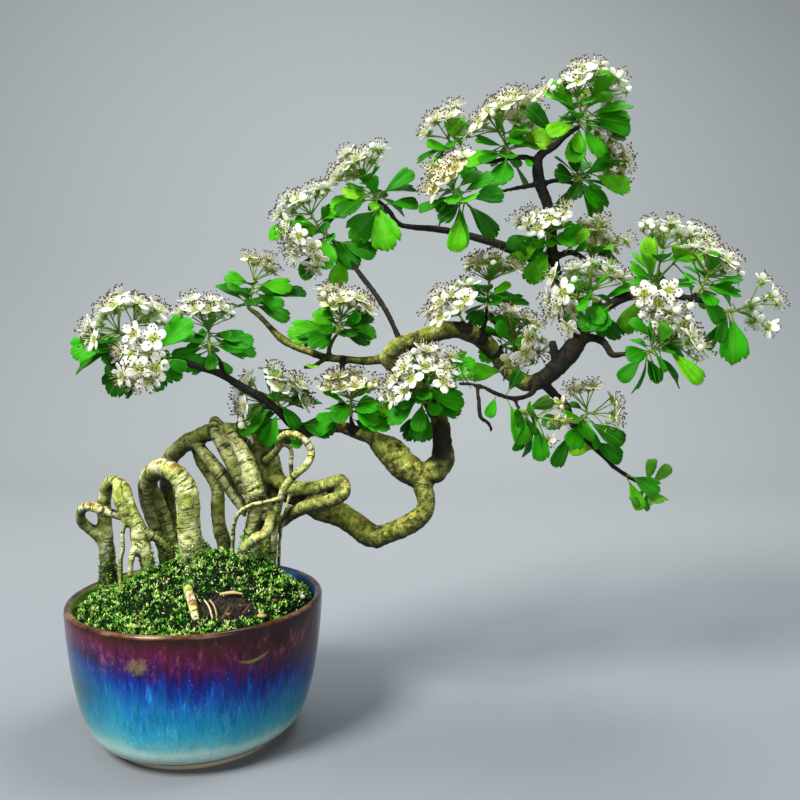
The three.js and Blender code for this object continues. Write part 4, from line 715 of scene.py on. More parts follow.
class Value:
    """One result of a material's nodes, so that sums can be written with plain signs."""

    def __init__(self, finish, socket):
        self.finish, self.socket = finish, socket

    def __add__(self, other):
        return self.finish.math("ADD", self, other)

    def __sub__(self, other):
        return self.finish.math("SUBTRACT", self, other)

    def __rsub__(self, other):
        return self.finish.math("SUBTRACT", other, self)

    def __mul__(self, other):
        return self.finish.math("MULTIPLY", self, other)

    def __truediv__(self, other):
        return self.finish.math("DIVIDE", self, other)

    def __abs__(self):
        return self.finish.math("ABSOLUTE", self)

    def near(self, middle, width):
        """1 where the value is close to middle, falling to 0 at width from it."""
        return self.finish.math("SUBTRACT", 1.0, abs(self - middle) / width, clamp=True)

    def rise(self, low, high, top=1.0):
        """0 below low, rising to top at high."""
        return self.finish.ramp(self, (low, 0.0), (high, top))

    def fall(self, low, high, top=1.0):
        """top below low, falling to 0 at high."""
        return self.finish.ramp(self, (low, top), (high, 0.0))


class Finish:
    """A node material, put together step by step. Each step returns its result as a Value."""

    def __init__(self, name, roughness, **constants):
        self.material = bpy.data.materials.new(name)
        self.material.use_nodes = True
        self.tree = self.material.node_tree
        self.shader = self.tree.nodes["Principled BSDF"]
        self.shader.inputs["Roughness"].default_value = roughness
        for key, value in constants.items():
            self.shader.inputs[key.replace("_", " ")].default_value = value
        self.where = self.step("ShaderNodeTexCoord", result="Object")

    def feed(self, socket, value):
        """Links a Value to a socket, or sets the socket to a number, a vector or a web colour."""
        if isinstance(value, Value):
            self.tree.links.new(value.socket, socket)
        else:
            socket.default_value = colour(value) if isinstance(value, str) else value

    def node(self, kind, links=(), **settings):
        made = self.tree.nodes.new(kind)
        for key, value in settings.items():
            setattr(made, key, value)
        for key, value in dict(links).items():
            self.feed(made.inputs[key], value)
        return made

    def step(self, kind, links=(), result=0, **settings):
        return Value(self, self.node(kind, links, **settings).outputs[result])

    def math(self, operation, a, b=0.0, clamp=False):
        return self.step("ShaderNodeMath", {0: a, 1: b}, operation=operation, use_clamp=clamp)

    def axes(self, vector):
        """The three parts of a vector."""
        return [Value(self, part) for part in self.node("ShaderNodeSeparateXYZ", {"Vector": vector}).outputs]

    def scaled(self, x, y, z):
        return self.step("ShaderNodeVectorMath", {0: self.where, 1: (x, y, z)}, operation="MULTIPLY")

    def noise(self, size, detail=3.0, roughness=0.55, where=None):
        """Noise from 0 to 1 with bumps of about size millimetres."""
        links = {"Vector": where or self.where, "Scale": 1 / (size * MM), "Detail": detail, "Roughness": roughness}
        return self.step("ShaderNodeTexNoise", links, "Fac")

    def cells(self, size):
        """Distance to the middle of the nearest of many cells of about size millimetres."""
        return self.step("ShaderNodeTexVoronoi", {"Vector": self.where, "Scale": 1 / (size * MM)}, "Distance")

    def ramp(self, value, *stops):
        """Colour or grey ramp: stops are (place, web colour) or (place, number)."""
        made = self.node("ShaderNodeValToRGB", {"Fac": value})
        elements = made.color_ramp.elements
        while len(elements) < len(stops):
            elements.new(1.0)
        for element, (place, what) in zip(elements, stops):
            element.position = place
            element.color = colour(what) if isinstance(what, str) else (what, what, what, 1)
        return Value(self, made.outputs["Color"])

    def mix(self, share, a, b, blend="MIX"):
        return self.step("ShaderNodeMix", {"Factor": share, 6: a, 7: b}, 2, data_type="RGBA", blend_type=blend)

    def layered(self, base, *layers):
        """A colour with others laid over it in turn, each as (share, colour)."""
        for share, tone in layers:
            base = self.mix(share, base, tone)
        return base

    def traits(self):
        """The four numbers that each point of the mesh carries."""
        layer = self.node("ShaderNodeAttribute", attribute_name="traits")
        parts = self.node("ShaderNodeSeparateColor", {"Color": Value(self, layer.outputs["Color"])})
        return [Value(self, socket) for socket in (*parts.outputs, layer.outputs["Alpha"])]

    def upward(self):
        """0 on a face that looks down, 1 on one that looks up."""
        return self.axes(self.step("ShaderNodeTexCoord", result="Normal"))[2] * 0.5 + 0.5

    def bumped(self, height, depth, strength):
        """Bump of a height from 0 to 1 that stands for depth millimetres."""
        links = {"Height": height, "Distance": depth * MM, "Strength": strength}
        self.feed(self.shader.inputs["Normal"], self.step("ShaderNodeBump", links))

    def done(self, base, see_through=0.0, roughness=None):
        self.feed(self.shader.inputs["Base Color"], base)
        if roughness is not None:
            self.feed(self.shader.inputs["Roughness"], roughness)
        if see_through:
            glow = self.step("ShaderNodeBsdfTranslucent", {"Color": base})
            surface = Value(self, self.shader.outputs[0])
            both = self.step("ShaderNodeMixShader", {0: see_through, 1: surface, 2: glow})
            self.feed(self.tree.nodes["Material Output"].inputs["Surface"], both)
        return self.material


def make_glaze():
    """Runny glaze: brown lip, maroon band, purple and blue streaks into turquoise, and a cream line at the foot."""
    f = Finish("glaze", 0.2, Specular_IOR_Level=0.22)
    x, y, z = f.axes(f.where)
    height = z / (BOWL_HEIGHT * MM)
    side = (x - POT_AT[0] * MM) / (RIM_RADIUS * MM)
    streaks = f.noise(4.4, 4.0, 0.72, f.scaled(1, 1, 0.07))
    broad = f.noise(24, 2.0, 0.5, f.scaled(1, 1, 0.35))
    hairs = f.noise(2.0, 3.0, 0.75, f.scaled(1, 1, 0.08))
    grain = f.noise(1.2, 3.0, 0.75)
    patches = f.noise(5.5, 4.0, 0.75, f.scaled(1, 1, 0.5))

    # The glaze has run: its colours go by height, shifted in streaks
    drift = side * 0.16 + (streaks - 0.5) * 0.42 + (broad - 0.5) * 0.34 + (hairs - 0.5) * 0.26
    level = height + drift * height.near(0.60, 0.50)
    base = f.ramp(level, (0.0, "b5aa8c"), (0.05, "b3a888"), (0.062, "261a12"), (0.085, "303430"), (0.10, "7c999c"),
                  (0.14, "a8c4bc"), (0.19, "a0ccc2"), (0.25, "58acb4"), (0.33, "2496b4"), (0.42, "0e82b2"),
                  (0.51, "0864ae"), (0.59, "0548a4"), (0.665, "082a90"), (0.725, "1c146c"), (0.77, "440c54"),
                  (0.85, "581440"), (0.93, "44161e"), (0.972, "24140f"))
    shade = f.ramp(hairs, (0.34, 0.20), (0.50, 0.80), (0.64, 1.0))
    base = f.mix(level.near(0.62, 0.60) * 0.95, base, shade, "MULTIPLY")

    pale = streaks.rise(0.53, 0.66, 0.7) * level.near(0.36, 0.28)
    rivulets = hairs.rise(0.56, 0.64, 0.8) * level.near(0.56, 0.18)
    teal = side.near(-0.75, 0.5) * height.near(0.56, 0.36)
    olive = side.near(-0.98, 0.36) * height.near(0.36, 0.30)
    # painted shade: the glaze goes darker towards the bowl's right side, away from the light
    right_side_shade = side.rise(0.35, 1.0, 0.5)
    rusty = side.near(0.85, 0.6) * height.near(0.84, 0.2)
    spots = f.cells(2.2).fall(0.12, 0.2)
    spotted = level.near(0.70, 0.26) * f.noise(9, 2).rise(0.48, 0.60)
    pits = grain.rise(0.60, 0.70, 0.5) * height.near(0.60, 0.62)
    band = height.near(0.83, 0.15)
    lip = (height + (broad - 0.5) * 0.02).rise(0.975, 0.99)
    lip_tone = f.ramp(f.noise(16, 3), (0.38, "2a1810"), (0.52, "523220"), (0.68, "8c6e50"))
    from_axis_x, from_axis_y = x - POT_AT[0] * MM, y - POT_AT[1] * MM
    from_axis = f.math("SQRT", from_axis_x * from_axis_x + from_axis_y * from_axis_y)
    inside = 1.0 - (from_axis / (INNER_WALL * MM)).rise(0.99, 1.0)
    inner_tone = f.mix(side.rise(0.0, 0.35), "6a8a2e", "2a64a4")
    base = f.layered(
        base, (pale, "4fb4c8"), (rivulets, "2a8ad0"), (f.math("MULTIPLY", teal, 1.1, True), "02465e"),
        (olive * 0.9, "5f8a34"), (right_side_shade, "0a1430"), (rusty * 0.75, "3a2114"), (spots * spotted * 0.35, "8f88b0"),
        (pits, "0a0c20"), (patches.rise(0.50, 0.60, 0.75) * band, "220a10"),
        (patches.fall(0.36, 0.46, 0.5) * band, "96566e"), (olive_marks(f, side, height, y), "7c7c2a"),
        (lip, lip_tone), (inside * height.rise(0.5, 0.75), inner_tone))
    f.bumped(streaks * 0.6 + grain * 0.5, 0.14, 0.6)
    return f.done(base, roughness=f.ramp(height, (0.055, 0.7), (0.075, 0.2)))


def olive_marks(f, side, height, y):
    """A blotch on the left of the maroon band and a short curved run of glaze on its right."""
    uneven = (f.noise(3, 4.0, 0.8) - 0.5) * 4.0
    blotch_side, blotch_height = (side - BLOTCH[0]) / BLOTCH[2], (height - BLOTCH[1]) / BLOTCH[3]
    away = blotch_side * blotch_side + blotch_height * blotch_height
    blotch = (away + uneven).fall(0.2, 1.0, 0.45)
    from_middle = side - RUN[0]
    curve = from_middle * from_middle * 3.2 + RUN[1]
    run = height.near(curve + uneven * 0.006, 0.018) * from_middle.near(0.02, 0.13)
    front = (y * -20.0).rise(0.0, 0.2)
    return f.math("MAXIMUM", blotch, run.rise(0.12, 0.6, 0.75)) * front


def make_soil_finish():
    f = Finish("soil", 0.92)
    grains = f.noise(1.3, 4.0, 0.7)
    base = f.ramp(grains, (0.30, "070503"), (0.45, "1a110a"), (0.58, "33231a"), (0.70, "5c4630"), (0.80, "94805c"))
    base = f.mix(f.noise(5, 2).rise(0.48, 0.64, 0.8), base, "16240c")
    f.bumped(grains + f.cells(1.6), 0.5, 0.9)
    return f.done(base)


def make_litter_finish():
    """Traits: the third is the tint, from pale stone to brown wood."""
    f = Finish("litter", 0.8)
    base = f.ramp(f.traits()[2], (0.0, "e9e6dc"), (0.3, "c9b37a"), (0.6, "8a6234"), (1.0, "4a2c18"))
    base = f.mix(f.noise(1.2, 3).rise(0.4, 0.7, 0.5), base, "3a2a18")
    f.bumped(f.noise(0.9, 3), 0.3, 0.7)
    return f.done(base)


def make_moss_finish():
    """Traits: how far up the blade, unused, brightness of its clump, higher on taller clumps as painted light on
    the tops.
    """
    f = Finish("moss", 0.85, Specular_IOR_Level=0.2)
    along, _, tint, _ = f.traits()
    grain = f.noise(1.5, 3.0, 0.7)
    # painted shade: the mat and the feet of the blades are near black, as deep in the cushion
    shaded_mat = f.ramp(grain, (0.38, "010200"), (0.54, "050f02"), (0.66, "12360a"), (0.80, "3a7a18"))
    tips = f.ramp(tint, (0.0, "061d03"), (0.25, "165408"), (0.42, "48b41a"), (0.66, "9ae844"), (1.0, "f0ffa4"))
    patch = f.noise(9, 3.0, 0.6).rise(0.56, 0.66, 0.45)
    base = f.layered(shaded_mat, (along.rise(0.1, 0.7), tips), (patch, "0a2105"))
    f.bumped(grain, 0.6, 0.8)
    return f.done(base, 0.15)


def make_bark():
    """Pale ringed roots, olive trunk, dark twigs.

    Traits: length along, painted shade in crevices between limbs, darkness of twigs with painted shade on the
    trunk's bend and the back roots, mossy share.
    """
    f = Finish("bark", 0.7, Specular_IOR_Level=0.3)
    along, crevice_shade, twig_and_shade, mossy = f.traits()
    down_limb = f.step("ShaderNodeCombineXYZ", {0: along * MM, 1: 0.0, 2: 0.0})
    stretched = f.step("ShaderNodeVectorMath", {0: down_limb, 1: f.scaled(0.2, 0.2, 0.2)}, operation="ADD")
    rings = f.noise(2.6, 3.0, 0.65, stretched)
    thin_rings = f.noise(1.3, 2.0, 0.6, stretched)
    blotch = f.noise(4.6, 4.0, 0.7)
    fine = f.noise(1.5, 3.0, 0.7)
    pale = f.ramp(blotch, (0.32, "3c3d0e"), (0.38, "a4a840"), (0.45, "e0e480"), (0.53, "f8faae"), (0.66, "fffde2"))
    olive = f.ramp(blotch, (0.30, "0d0e05"), (0.41, "484e14"), (0.50, "969c34"), (0.60, "c6cc60"), (0.72, "e2e48e"))
    dark = f.ramp(blotch, (0.32, "030201"), (0.45, "0d0703"), (0.58, "22140a"), (0.70, "46301a"), (0.8, "6e5c38"))
    fade = 1.0 - twig_and_shade * 0.95
    green = f.noise(15, 2.0, 0.5).rise(0.44, 0.58, 0.75)
    cracks = rings.rise(0.56, 0.61)
    lines = thin_rings.rise(0.56, 0.63, 0.6)
    specks = fine.rise(0.59, 0.65)
    up = f.upward()
    rust = up.rise(0.68, 0.88) * f.noise(7, 3.0, 0.6).rise(0.52, 0.60, 0.85)
    # painted shade: faces that look down are darkened towards near black
    underside_shade = f.ramp(up, (0.15, 0.92), (0.42, 0.55), (0.66, 0.0))
    stain = mossy * f.noise(3.2, 3.0, 0.6).rise(0.34, 0.50)
    stain_tone = f.ramp(fine, (0.35, "060c02"), (0.5, "122808"), (0.66, "356c16"))
    base = f.layered(
        pale, (twig_and_shade.rise(0.0, 0.5), olive), (twig_and_shade.rise(0.5, 0.95), dark),
        (green * fade, "96ac34"), (cracks * 0.85 * fade, "15140a"), (lines * fade, "2a2810"),
        (specks * 0.75, "120f07"), (f.math("POWER", twig_and_shade, 3.0) * 0.5, "0a0703"), (rust * fade, "8a4a20"),
        (underside_shade, "10120a"), (crevice_shade * 0.92, "0a0b05"), (stain, stain_tone))
    f.bumped(rings * -0.9 + fine * -0.6 - thin_rings * 0.5 + blotch * 0.6, 1.2, 1.0)
    return f.done(base)


def make_leaf_finish():
    """Traits: distance out along the blade, place across it, tint of the leaf, partly its own green and partly
    painted light and shade, 1 on its lower face.
    """
    f = Finish("leaf", 0.45, Specular_IOR_Level=0.12)
    out, across, tint, below = f.traits()
    # painted light and shade: the tint runs from dark shaded green to pale lit green
    blade = f.ramp(tint, (0.0, "093003"), (0.25, "176404"), (0.5, "2eaa06"), (0.72, "62cc12"), (1.0, "b8ee34"))
    mottle = f.noise(5, 3.0, 0.6).rise(0.38, 0.66)
    midrib = (abs(across) * (out + 0.15)).fall(0.018, 0.045)
    bent = abs(across) * 4.2 + out * -1.1
    side_veins = abs(f.math("FRACT", bent) - 0.5).fall(0.035, 0.11)
    veins = f.math("MAXIMUM", midrib, side_veins * 0.3)
    blade = f.layered(blade, (mottle * 0.35, "1c7a06"), (veins * 0.28, "98cc40"), (below * 0.4, "6fa233"))
    f.bumped(f.noise(1.4, 2) * 0.4 - veins, 0.3, 0.9)
    return f.done(blade, 0.3)


def make_petal_finish():
    """Traits: distance out along the petal, place across it, age of the flower, which also paints shade on heads as
    a yellower tone.
    """
    f = Finish("petal", 0.5, Specular_IOR_Level=0.3)
    out, across, age, _ = f.traits()
    fresh = f.ramp(out, (0.0, "b8cc4a"), (0.22, "e4ecaa"), (0.40, "fdfdf2"), (1.0, "ffffff"))
    # painted shade as well as age: the spent tone also makes shaded heads yellower
    spent_and_shaded = f.ramp(out, (0.0, "a2a02c"), (0.4, "dcd67a"), (1.0, "f4efba"))
    creases = f.noise(1.6, 3, 0.6).rise(0.52, 0.68, 0.22)
    base = f.layered(fresh, (age, spent_and_shaded), (creases, "d9dcc0"))
    f.bumped(f.math("SINE", across * 14.0) * 0.5 + f.noise(1.2, 2), 0.14, 0.7)
    return f.done(base, 0.3)


def make_small_finish(name, roughness, grain, stops, aged=None, bump=None, see_through=0.0):
    """Mottled finish of small parts. The third trait, times the share in aged, brings in the tone in aged; on
    flowers that trait is their age with painted shade.
    """
    f = Finish(name, roughness)
    base = f.ramp(f.noise(*grain), *stops)
    if aged:
        share, tone = aged
        base = f.mix(f.traits()[2] * share, base, tone)
    if bump:
        size, depth, strength = bump
        f.bumped(f.noise(size, 2), depth, strength)
    return f.done(base, see_through)


def make_stem_finish():
    return make_small_finish("green_stem", 0.5, (3, 3.0, 0.6), ((0.3, "3f6e14"), (0.5, "6d9a2a"), (0.7, "9fbe4a")),
                             (0.6, "98963c"), (0.8, 0.1, 0.5), 0.12)


def make_thread_finish():
    return make_small_finish("stamen_thread", 0.5, (1, 1), ((0.3, "d2dc98"), (0.7, "f2f4d6")), (1.0, "b9a94a"),
                             see_through=0.2)


def make_anther_finish():
    return make_small_finish("anther", 0.55, (0.9, 3), ((0.35, "1c0804"), (0.55, "4a160c"), (0.75, "8a3a1c")),
                             (0.5, "3a2410"), (0.4, 0.1, 0.6))


def make_eye_finish():
    return make_small_finish("flower_eye", 0.45, (0.8, 2), ((0.3, "7f9a1c"), (0.6, "b0c238"), (0.8, "dfe05c")),
                             (0.5, "a98a2c"), (0.6, 0.1, 0.6), 0.1)


def make_net_finish():
    return make_small_finish("net_plastic", 0.55, (2.5, 3), ((0.3, "1c1f1d"), (0.7, "323633")),
                             bump=(0.6, 0.05, 0.5))


# The bowl and what fills it

BOWL_PROFILE = [
    (44, 0), (51.5, 0), (52, 1.2), (52.1, 4.2), (52.8, 5), (56, 5.3), (58.6, 6.2), (61.4, 8), (65.5, 13), (69, 22),
    (71, 29), (72.6, 36), (74, 44), (75.2, 52), (76.1, 60), (76.9, 68), (77.5, 76), (77.9, 82), (78, 84.2),
    (77.7, 85.9), (76.9, 86.9), (75.7, 87), (74.4, 86.6), (73.5, 85.4), (73, 83), (71.6, 70), (69, 45), (64.5, 24),
    (58, 13), (50, 11), (6.4, 11), (6, 10.6), (6, 4.2), (6.4, 3.8), (43.4, 3.8), (43.9, 3.2),
]


def refine(profile, step):
    """A profile with more points between its own, for smooth displacement."""
    out = []
    for (r, z), (s, w) in zip(profile, profile[1:] + profile[:1]):
        count = max(1, round(math.hypot(s - r, w - z) / step))
        out += [(r + (s - r) * k / count, z + (w - z) * k / count) for k in range(count)]
    return out


def make_bowl():
    """The glazed bowl, a little uneven as thrown clay is."""
    rings = lathe(refine(BOWL_PROFILE, 2.4), BOWL_SEGMENTS)
    points = rings.reshape(-1, 3)
    lift = smoothstep(points[:, 2], 8, 40)
    swell = 0.3 * rough(points, 30, 2, 5.0) * lift
    out = points[:, :2] / np.linalg.norm(points[:, :2], axis=1)[:, None]
    points[:, :2] += out * np.minimum(swell, 0.0)[:, None]
    quads = grid_quads(len(rings), BOWL_SEGMENTS, closed=True)
    index = np.arange(BOWL_SEGMENTS)
    ahead = (index + 1) % BOWL_SEGMENTS
    last = (len(rings) - 1) * BOWL_SEGMENTS
    seam = np.stack([index + last, ahead + last, ahead, index], axis=-1)
    shape = Shape()
    shape.add(points, [np.concatenate([quads, seam])])
    place_piece("glazed_bowl", shape.mesh("glazed_bowl", [make_glaze()]), "pot")


# Litter on the mound: start, end, radius and tint of sticks and fibres, then place, half sizes and tint of flakes
LITTER_STICKS = [
    ((23, -39.5, 98.2), (36, -37, 97.6), 0.9, 0.3), ((15, -43, 96), (22, -53, 88.3), 0.5, 0.2),
    ((18, -43, 96), (24, -51, 89.4), 0.4, 0.4), ((30, -46, 93), (27, -53, 88), 0.35, 0.8),
    ((41, -40, 93), (38, -47, 89.6), 0.4, 0.9), ((52, -30, 93), (57, -33, 89.4), 0.35, 0.6),
]
LITTER_FLAKES = [
    ((67.1, -12, 88.2), (2.4, 1.9, 1.5), 0.0), ((48.3, -45.5, 87.6), (3.4, 2.2, 1.2), 0.4),
    ((53.8, -33, 92.6), (2.2, 1.6, 1.0), 0.85), ((30, -50, 90), (2.0, 1.4, 1.0), 0.6),
    ((36, -44, 93), (1.6, 1.3, 0.9), 0.9), ((-20, -52, 89.6), (1.8, 1.2, 0.8), 0.7),
]
SURFACE_ROOT = Wood([ROOTS["surfaceRoot"][2:]])


def mound(x, y):
    over = np.exp(-((x - MOUND_MIDDLE[0]) / MOUND_WIDTH) ** 2 - ((y - MOUND_MIDDLE[1]) / MOUND_DEPTH) ** 2)
    return MOUND_EDGE + MOUND_RISE * over * (1 - np.minimum(1, np.hypot(x, y) / MOUND_RADIUS) ** 6)


def in_patch(x, y):
    """Below 1 inside the bare patch of soil."""
    px, py, radius = BARE_PATCH
    return np.hypot((x - px) / (radius * 1.1), (y - py) / (radius * 0.5))


def make_soil():
    """Plug of soil that fills the bowl under the moss, with a rough top, crumbs and litter."""
    edge = SOIL_EDGE
    wall = [(0, 12.7), (11, 12.7), (11.6, 11.4), (52, 11.4), (60.6, 18.6), (66, 34), (68.4, 52), (edge, 70),
            (edge, 80)]
    top = [(edge - edge * k / SOIL_RINGS, 1000) for k in range(1, SOIL_RINGS)] + [(0, 1000)]
    way_back = 22  # points that refine adds between the last and the first, left out here
    points = lathe(refine(wall, 4)[:-way_back] + [(edge, 80)] + top, SOIL_SEGMENTS).reshape(-1, 3)
    on_top = points[:, 2] > 500
    x, y = points[on_top, 0], points[on_top, 1]
    flat = np.stack([x, y, np.zeros_like(x)], axis=1)
    points[on_top, 2] = mound(x, y) - SOIL_BELOW + 0.9 * rough(flat, 6, 3, 2.0) + 0.5 * rough(flat, 1.6, 2, 9.0)
    shape = Shape()
    shape.add(points, [grid_quads(len(points) // SOIL_SEGMENTS, SOIL_SEGMENTS, closed=True)])
    rng = np.random.default_rng(SOIL_SEED)
    lump, faces = pebble_form()
    for _ in range(SOIL_CRUMBS):
        x, y = BARE_PATCH[0] + rng.normal(0, CRUMB_SPREAD[0]), BARE_PATCH[1] + rng.normal(0, CRUMB_SPREAD[1])
        if math.hypot(x, y) < CRUMB_REACH:
            size = rng.uniform(0.25, 0.95)
            shape.add(lump * size * rng.uniform(0.6, 1.3, 3) + [x, y, mound(x, y) - 2.4 + size * 0.4], faces)
    add_litter(shape, rng)
    finishes = [make_soil_finish(), make_litter_finish()]
    place_piece("soil_crumb", shape.mesh("soil_crumb", finishes), "soil")


def add_litter(shape, rng):
    """Twigs, fibres, flakes and one pale pebble that lie on the mound, each with a tint from pale to brown."""
    for start, end, radius, tint in LITTER_STICKS:
        start, end = np.array(start, float), np.array(end, float)
        middle = (start + end) / 2 + [0.6, 0, 0.9]
        route = smooth_route([[*start, radius], [*middle, radius * 1.1], [*end, radius * 0.6]], ROUTE_STEP)
        shape.add(*tube(route[:, :3], route[:, 3], 6), 1, (0, 0, tint, 0))
    lump, faces = pebble_form()
    for place, size, tint in LITTER_FLAKES:
        shape.add(lump * np.array(size) + place, faces, 1, (0, 0, tint, 0))
    for _ in range(LOOSE_BITS):
        turn, away = rng.uniform(0, 2 * math.pi), LOOSE_REACH * math.sqrt(rng.uniform(0, 1))
        x, y = away * math.cos(turn), away * math.sin(turn)
        place = np.array([x, y, mound(x, y) + rng.uniform(0.3, 2.4)])
        size = rng.uniform(0.35, 0.9) * rng.uniform(0.5, 1.5, 3) * [1, 1, 0.6]
        shape.add(lump * size + place, faces, 1, (0, 0, rng.uniform(0.1, 1), 0))


def pebble_form():
    """Ball of twenty faces."""
    maker = bmesh.new()
    bmesh.ops.create_icosphere(maker, subdivisions=1, radius=1.0)
    points = np.array([v.co for v in maker.verts])
    faces = np.array([[v.index for v in face.verts] for face in maker.faces])
    maker.free()
    return points, [faces]


def make_moss():
    """Cushion of moss over the mound: a lumpy mat with small leafy shoots standing on it, also up the roots."""
    radius = MOSS_EDGE * (np.arange(MOSS_RINGS) + 1) / MOSS_RINGS
    turns = np.arange(MOSS_SEGMENTS) * 2 * math.pi / MOSS_SEGMENTS
    x, y = (radius[:, None] * np.cos(turns)).ravel(), (radius[:, None] * np.sin(turns)).ravel()
    flat = np.stack([x, y, np.zeros_like(x)], axis=1)
    height, _ = moss_height(flat)
    shape = Shape()
    shape.add(np.stack([x, y, height], axis=1), [grid_quads(MOSS_RINGS, MOSS_SEGMENTS, closed=True)])
    rng = np.random.default_rng(MOSS_SEED)
    count = MOSS_BLADES
    r, a = MOSS_EDGE * np.sqrt(rng.uniform(0, 1, count)), rng.uniform(0, 2 * math.pi, count)
    feet = np.stack([r * np.cos(a), r * np.sin(a), np.zeros(count)], axis=1)
    height, bare = moss_height(feet)
    feet[:, 2] = height - 0.3
    thin = rng.uniform(0, 1, count) < MOSS_THIN_SHARE
    grows = ((bare > 1.02) | ((bare > 0.5) & thin)) & (rough(feet, 3.2, 2, 4.0) > MOSS_GAP_LEVEL)
    feet = feet[grows & (SURFACE_ROOT.room(feet) > 0.9)]
    ways = np.tile([0.0, 0, 1], (len(feet), 1))
    climbing, outward = moss_on_roots(rng)
    feet, ways = np.concatenate([feet, climbing]), np.concatenate([ways, outward])
    count = len(feet)
    lean = ways + rng.normal(0, 0.7, (count, 3)) * [1, 1, 0.5]
    lean /= np.linalg.norm(lean, axis=1)[:, None]
    turn = rng.uniform(0, 2 * math.pi, count)
    side = np.stack([np.cos(turn), np.sin(turn), rng.normal(0, 0.3, count)], axis=1)
    clump = rough(feet, 3.6, 3, 12.0)
    tall = rng.uniform(1.1, 2.7, count)[:, None] * (1 + 0.6 * clump)[:, None]
    wide = rng.uniform(0.3, 0.62, count)[:, None]
    mid = feet + lean * tall * 0.6
    points = np.stack([feet, mid - side * wide, feet + lean * tall, mid + side * wide], axis=1).reshape(-1, 3)
    # painted light: taller clumps get a brighter tint, as lit tops
    tint = np.clip(rng.beta(1.2, 1.9, count) + 1.1 * clump, 0, 1)
    traits = np.zeros((count, 4, 4))
    traits[:, :, 0] = [0.1, 0.75, 1, 0.75]
    traits[:, :, 2] = tint[:, None]
    shape.add(points, [np.arange(4 * count).reshape(-1, 4)], traits=traits.reshape(-1, 4))
    place_piece("moss_cushion", shape.mesh("moss_cushion", [make_moss_finish()]), "moss")


def moss_on_roots(rng):
    """Feet and directions of moss that climbs the roots, higher on those at the back."""
    feet, ways = [], []
    for name, route in ROOTS.items():
        curve = smooth_route(route, ROUTE_STEP)
        along = np.gradient(curve[:, :3], axis=0)
        for (x, y, z, radius), way in zip(curve, along):
            climb = 8 + 17 * float(smoothstep(y, -25, 0))
            low = z - mound(x, y)
            if -3 < low < climb and radius > 2.2 and (name != "surfaceRoot" or y > -36):
                side, up = cross_axes(unit(way))
                for _ in range(round(radius * 11 * (1 - max(low, 0) / climb) ** 1.5)):
                    turn = rng.uniform(0, 2 * math.pi)
                    out = side * math.cos(turn) + up * math.sin(turn)
                    feet.append(np.array([x, y, z]) + out * (radius - 0.2) + way * rng.uniform(-0.5, 0.5))
                    ways.append(unit(out * 0.7 + np.array([0, 0, 0.8])))
    return np.array(feet), np.array(ways)


def moss_height(flat):
    """Top of the moss at points, and how far outside the bare patch they lie."""
    x, y = flat[:, 0], flat[:, 1]
    bare = in_patch(x, y) + 0.34 * rough(flat, 8, 2, 3.0)
    lumps = 2.0 * rough(flat, 12, 2, 1.0) + 3.2 * np.abs(rough(flat, 4.2, 2, 6.0)) + 1.2 * rough(flat, 1.6, 2, 8.0)
    height = mound(x, y) - 0.8 + lumps
    height -= 4.5 * (1 - smoothstep(bare, 0.92, 1.22))
    height -= 2.6 * smoothstep(np.hypot(x, y), 66, MOSS_EDGE)
    near_root = SURFACE_ROOT.room(np.stack([x, y, height], axis=1))
    height -= 3.0 * (1 - smoothstep(near_root, 0.0, 3.0))
    return height, bare


# The tree

# How dark the bark of a limb is: 0 for a pale root, 0.5 for the olive trunk, 1 for a dark twig
BARK_KINDS = {"trunk": 0.56, "burl": 0.5, "core": 0.35, "branchLeftLow": 0.6, "bentRoot": 0.4, "backRise": 0.25,
              "apex": 0.95, "branchLeftLong": 0.2, "twigF": 0.3, "twigSide": 0.4}


def make_tree():
    """All roots and branches as one skin, rough with bark."""
    shape = Shape()
    samples = []
    for name, route in LIMBS.items():
        curve = smooth_route(route, ROUTE_STEP)
        wobble = 1 + 0.07 * rough(curve[:, :3], 9, 2, len(samples) * 0.37)
        shape.add(*tube(curve[:, :3], curve[:, 3] * wobble, LIMB_SIDES))
        along = np.concatenate([[0], np.cumsum(np.linalg.norm(np.diff(curve[:, :3], axis=0), axis=1))])
        branch = name not in ROOTS
        kind = BARK_KINDS.get(name, 0.85 if branch else 0.0) + 0.5 * branch * smoothstep(-curve[:, 3], -4.6, -2.2)
        samples += zip(curve, along, np.clip(kind, 0, 1))
    bark = make_bark()
    thing = place_piece("bark", shape.mesh("bark", [bark]), "tree")
    fuse = thing.modifiers.new("fuse", "REMESH")
    fuse.mode = "VOXEL"
    fuse.voxel_size = VOXEL * MM
    fuse.use_smooth_shade = True
    soften = thing.modifiers.new("soften", "SMOOTH")
    soften.iterations = 2
    soften.factor = 0.5
    whole = bpy.context.evaluated_depsgraph_get()
    fused = bpy.data.meshes.new_from_object(thing.evaluated_get(whole))
    thing.modifiers.clear()
    thing.data = fused
    fused.materials.clear()
    fused.materials.append(bark)
    dress_bark(fused, samples)


